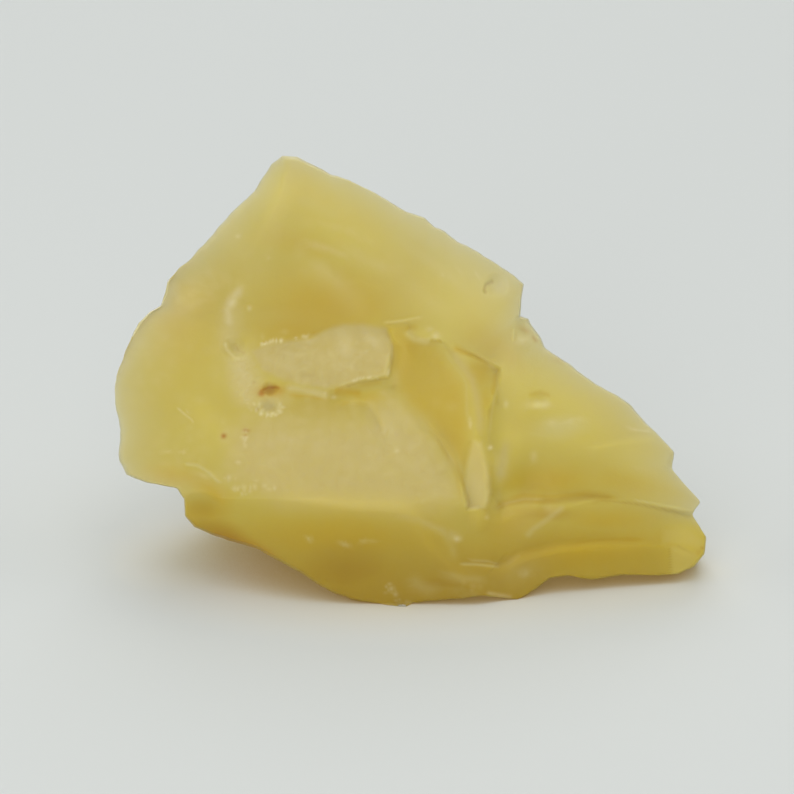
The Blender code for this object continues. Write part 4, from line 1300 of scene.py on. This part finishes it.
@dataclass(frozen=True)
class CommonOpal:
    """Common opal, broken and never polished: waxy, and lit from inside by scattered light."""

    body: str = "#BCAC52"
    body_swing: float = 0.35  # how far the body drifts towards amber from cloud to cloud
    body_shift: float = -0.1  # and how much less amber it is on the whole
    washes: tuple[Wash, ...] = (
        # Glow, amber, deep and pale colour painted light and shade: glow of thin stone, amber hollows,
        # shade underneath, paler edges
        Wash(Tone.GLOW, "#CCBC5A", "clouds", 0.3),
        Wash(Tone.AMBER, "#BBA02D", "clouds", 0.4),
        Wash(Tone.DEEP, "#A48729", "clouds", 0.2),
        Wash(Tone.PALE, "#C4BE97", "clouds", 0.3),
        Wash(Tone.FROST, "#BDAC6C", "mottle", 0.5),
        Wash(Tone.CHALK, "#DCD3AC", "mottle", 1.0),
        Wash(Tone.RUST, "#A8701E", "mottle", 0.5),
    )
    # Each pattern's size in millimetres, and its detail
    patterns: Mapping[str, tuple[float, float]] = field(
        default_factory=lambda: {"clouds": (7.0, 2.0), "mottle": (1.4, 3.0), "grain": (0.28, 2.0)}
    )
    ior: float = 1.45
    glow_mm: float = 5.0  # how far red light wanders under the skin
    glow_tint: tuple[float, float, float] = (1.0, 0.9, 0.65)
    thin_glow_mm: float = 0.1  # the same near the rim, or it would cross the thin stone unstained
    shine: float = 0.3
    waxy_roughness: float = 0.45
    frosted_roughness: float = 0.64
    grain_mm: float = 0.02  # how high the fine grain stands
    mottle_mm: float = 0.08  # and the coarser one
    bump: float = 0.4

    def material(self) -> bpy.types.Material:
        """The stone's material.

        A fresh break in common opal is smooth and waxy, so it gives a broad soft shine, and
        where it broke through grainy stone it is frosted and gives none. Light goes deep and
        comes out yellow, which blurs the edges' shading and fills the hollows with amber. On top
        of that, the tones paint light and shade into the colour: more amber in the hollows, glow
        where the stone is thin, shade underneath and paler edges.

        Returns:
            The material.
        """
        material = bpy.data.materials.new("broken_common_opal")
        material.use_nodes = True
        tree = material.node_tree
        tree.nodes.clear()
        place = add_node(tree, "ShaderNodeTexCoord", {}, {}).outputs["Object"]
        noises = {}
        for name, (size_mm, detail) in self.patterns.items():
            sockets = {"Vector": place, "Scale": 1.0 / (size_mm * MM), "Detail": detail}
            noises[name] = add_node(tree, "ShaderNodeTexNoise", {}, sockets).outputs["Fac"]
        drift = add_node(
            tree, "ShaderNodeMath", {"operation": "MULTIPLY_ADD", "use_clamp": True},
            {"Value": noises["clouds"], "Value_001": self.body_swing, "Value_002": self.body_shift},
        ).outputs[0]
        amber = next(w.colour for w in self.washes if w.tone is Tone.AMBER)
        colour = add_node(
            tree, "ShaderNodeMix", {"data_type": "RGBA"},
            {"Factor_Float": drift, "A_Color": linear(self.body), "B_Color": linear(amber)},
        ).outputs[2]
        laid = {}
        for wash in self.washes:
            tone = add_node(tree, "ShaderNodeAttribute", {"attribute_name": wash.tone.value}, {})
            pattern = noises[wash.pattern]
            swung = add_node(
                tree, "ShaderNodeMath", {"operation": "MULTIPLY_ADD"},
                {"Value": pattern, "Value_001": wash.swing, "Value_002": 1.0 - wash.swing / 2},
            )
            laid[wash.tone] = add_node(
                tree, "ShaderNodeMath", {"operation": "MULTIPLY", "use_clamp": True},
                {"Value": tone.outputs["Fac"], "Value_001": swung.outputs[0]},
            ).outputs[0]
            colour = add_node(
                tree, "ShaderNodeMix", {"data_type": "RGBA"},
                {"Factor_Float": laid[wash.tone], "A_Color": colour, "B_Color": linear(wash.colour)},
            ).outputs[2]
        rough = add_node(
            tree, "ShaderNodeMapRange", {},
            {"Value": laid[Tone.FROST], "To Min": self.waxy_roughness, "To Max": self.frosted_roughness},
        ).outputs["Result"]
        grain = add_node(
            tree, "ShaderNodeBump", {},
            {"Height": noises["grain"], "Strength": self.bump, "Distance": self.grain_mm * MM},
        ).outputs["Normal"]
        skin = add_node(
            tree, "ShaderNodeBump", {},
            {
                "Height": noises["mottle"], "Strength": self.bump, "Distance": self.mottle_mm * MM,
                "Normal": grain,
            },
        ).outputs["Normal"]
        thin = add_node(tree, "ShaderNodeAttribute", {"attribute_name": Tone.THIN.value}, {})
        wander = add_node(
            tree, "ShaderNodeMapRange", {},
            {"Value": thin.outputs["Fac"], "To Min": self.glow_mm * MM, "To Max": self.thin_glow_mm * MM},
        ).outputs["Result"]
        shader = add_node(
            tree, "ShaderNodeBsdfPrincipled", {"subsurface_method": "RANDOM_WALK"},
            {
                "Base Color": colour, "Roughness": rough, "IOR": self.ior, "Normal": skin,
                "Specular IOR Level": self.shine, "Subsurface Weight": 1.0,
                "Subsurface Radius": self.glow_tint, "Subsurface Scale": wander,
            },
        )
        add_node(tree, "ShaderNodeOutputMaterial", {}, {"Surface": shader.outputs["BSDF"]})
        return material


@dataclass(frozen=True)
class StudioPaper:
    """Matt white paper under and behind the stone, with a painted shadow and glow next to it."""

    white: str = "#CBCECC"
    painted_shadow: str = "#94742C"  # painted shadow: the paper's colour where the stone keeps white light off it
    painted_glow: str = "#A08A58"  # painted glow: emission for the light that comes down through the stone
    painted_glow_strength: float = 0.5
    painted_shadow_end: float = 0.42  # how open the paper is to the room where the painted shadow has faded out
    shade_reach: float = 0.013  # how near the stone the paper takes its painted shadow and glow, in metres
    roughness: float = 0.9
    shine: float = 0.2

    def material(self) -> bpy.types.Material:
        """The paper's material.

        It is uncoated, so it has no gloss. Next to the stone, where occlusion shows the room's
        light kept off, a warm shadow is painted into its colour and a yellow glow is painted on as
        emission, for the light that comes through the stone.

        Returns:
            The material.
        """
        material = bpy.data.materials.new("matt_white_paper")
        material.use_nodes = True
        tree = material.node_tree
        tree.nodes.clear()
        open_sky = add_node(
            tree, "ShaderNodeAmbientOcclusion", {"samples": 8}, {"Distance": self.shade_reach}
        ).outputs["AO"]
        # Painted shadow: the paper turns to the shadow's colour near the stone
        unshadowed = add_node(
            tree, "ShaderNodeMapRange", {}, {"Value": open_sky, "From Max": self.painted_shadow_end}
        ).outputs["Result"]
        colour = add_node(
            tree, "ShaderNodeMix", {"data_type": "RGBA"},
            {"Factor_Float": unshadowed, "A_Color": linear(self.painted_shadow), "B_Color": linear(self.white)},
        ).outputs[2]
        # Painted glow: emission that grows as the stone shuts out the room
        through = add_node(
            tree, "ShaderNodeMapRange", {},
            {"Value": open_sky, "To Min": self.painted_glow_strength, "To Max": 0.0},
        ).outputs["Result"]
        shader = add_node(
            tree, "ShaderNodeBsdfPrincipled", {},
            {
                "Base Color": colour, "Roughness": self.roughness, "Specular IOR Level": self.shine,
                "Emission Color": linear(self.painted_glow), "Emission Strength": through,
            },
        )
        add_node(tree, "ShaderNodeOutputMaterial", {}, {"Surface": shader.outputs["BSDF"]})
        return material


# The studio


@dataclass(frozen=True)
class Softbox:
    """One square soft light that faces the stone: where it hangs, its sides in metres and its watts."""

    name: str
    at: tuple[float, float, float]
    size: float
    power: float


SOFTBOXES: tuple[Softbox, ...] = (
    Softbox("overhead_softbox", (0.0, 0.0, 0.8), 0.8, 1.8),
    Softbox("rear_softbox", (0.0, 0.6, 0.6), 0.6, 2.4),
    Softbox("front_softbox", (0.0, -0.5, 0.7), 0.6, 1.8),
    Softbox("low_front_softbox", (-0.15, -1.0, 0.35), 0.6, 4.6),
    Softbox("left_softbox", (-0.8, 0.0, 0.35), 0.6, 1.4),
    Softbox("right_softbox", (0.8, 0.0, 0.35), 0.6, 1.1),
)


@dataclass
class Studio:
    """The paper, the soft light round the stone and the camera."""

    paper: StudioPaper = field(default_factory=StudioPaper)
    frame_width: float = 0.0962  # what the picture spans at the stone, in metres
    lens: float = 200.0
    sensor: float = 36.0
    elevation: float = 20.0
    aside: tuple[float, float] = (-0.00036, 0.00036)  # the picture's middle, right and up of the face's
    sky: float = 0.3
    sky_colour: str = "#FCFFFD"
    paper_reach: float = 2.0  # half the paper's side, in metres
    light_aim: float = 0.02  # the height that the softboxes face, in metres

    def lay_paper(self) -> bpy.types.Object:
        """Lays the paper that the stone rests on.

        Returns:
            The paper.
        """
        bm = bmesh.new()
        bmesh.ops.create_grid(bm, x_segments=1, y_segments=1, size=self.paper_reach)
        mesh = bpy.data.meshes.new("paper")
        bm.to_mesh(mesh)
        bm.free()
        mesh.materials.append(self.paper.material())
        paper = bpy.data.objects.new("paper", mesh)
        bpy.context.scene.collection.objects.link(paper)
        return paper

    def hang(self, box: Softbox) -> None:
        """Hangs one softbox.

        Args:
            box: The softbox.
        """
        light = bpy.data.lights.new(box.name, "AREA")
        light.size = box.size
        light.energy = box.power
        lamp = bpy.data.objects.new(box.name, light)
        lamp.location = box.at
        away = Vector(box.at) - Vector((0.0, 0.0, self.light_aim))
        lamp.rotation_euler = away.to_track_quat("Z", "Y").to_euler()
        bpy.context.scene.collection.objects.link(lamp)

    def light(self) -> None:
        """Fills the room with soft light and hangs the softboxes."""
        world = bpy.data.worlds.new("soft_room")
        world.use_nodes = True
        background = world.node_tree.nodes["Background"]
        background.inputs["Color"].default_value = linear(self.sky_colour)
        background.inputs["Strength"].default_value = self.sky
        bpy.context.scene.world = world
        for box in SOFTBOXES:
            self.hang(box)
        bpy.context.scene.view_settings.view_transform = "Standard"

    def place_camera(self, face_middle: Vector) -> bpy.types.Object:
        """Places the camera to look down at the broad face.

        Args:
            face_middle: The middle of the broad face, in the row frame, in metres.

        Returns:
            The camera.
        """
        data = bpy.data.cameras.new("camera")
        data.lens = self.lens
        data.sensor_width = self.sensor
        camera = bpy.data.objects.new("camera", data)
        bpy.context.scene.collection.objects.link(camera)
        bpy.context.scene.camera = camera
        tip = math.radians(self.elevation)
        back = Vector((0.0, -math.cos(tip), math.sin(tip)))
        up = Vector((0.0, math.sin(tip), math.cos(tip)))
        target = face_middle + self.aside[0] * Vector((1.0, 0.0, 0.0)) + self.aside[1] * up
        camera.location = target + back * (self.frame_width * self.lens / self.sensor)
        camera.rotation_euler = back.to_track_quat("Z", "Y").to_euler()
        return camera


def main() -> None:
    """Builds the stone and the studio, and reports each."""
    logging.basicConfig(level=logging.INFO, format="%(message)s")
    stone = OpalStone()
    piece = stone.build(CommonOpal())
    log.info("%s: %d vertices before thinning", piece.name, len(piece.data.vertices))
    studio = Studio()
    paper = studio.lay_paper()
    log.info("%s: laid", paper.name)
    studio.light()
    middle = Vector((-stone.middle[0], -stone.middle[1], stone.form.floor_drop * MM))
    camera = studio.place_camera(middle)
    log.info("%s: at %s", camera.name, tuple(round(x, 4) for x in camera.location))


if __name__ == "__main__":
    main()
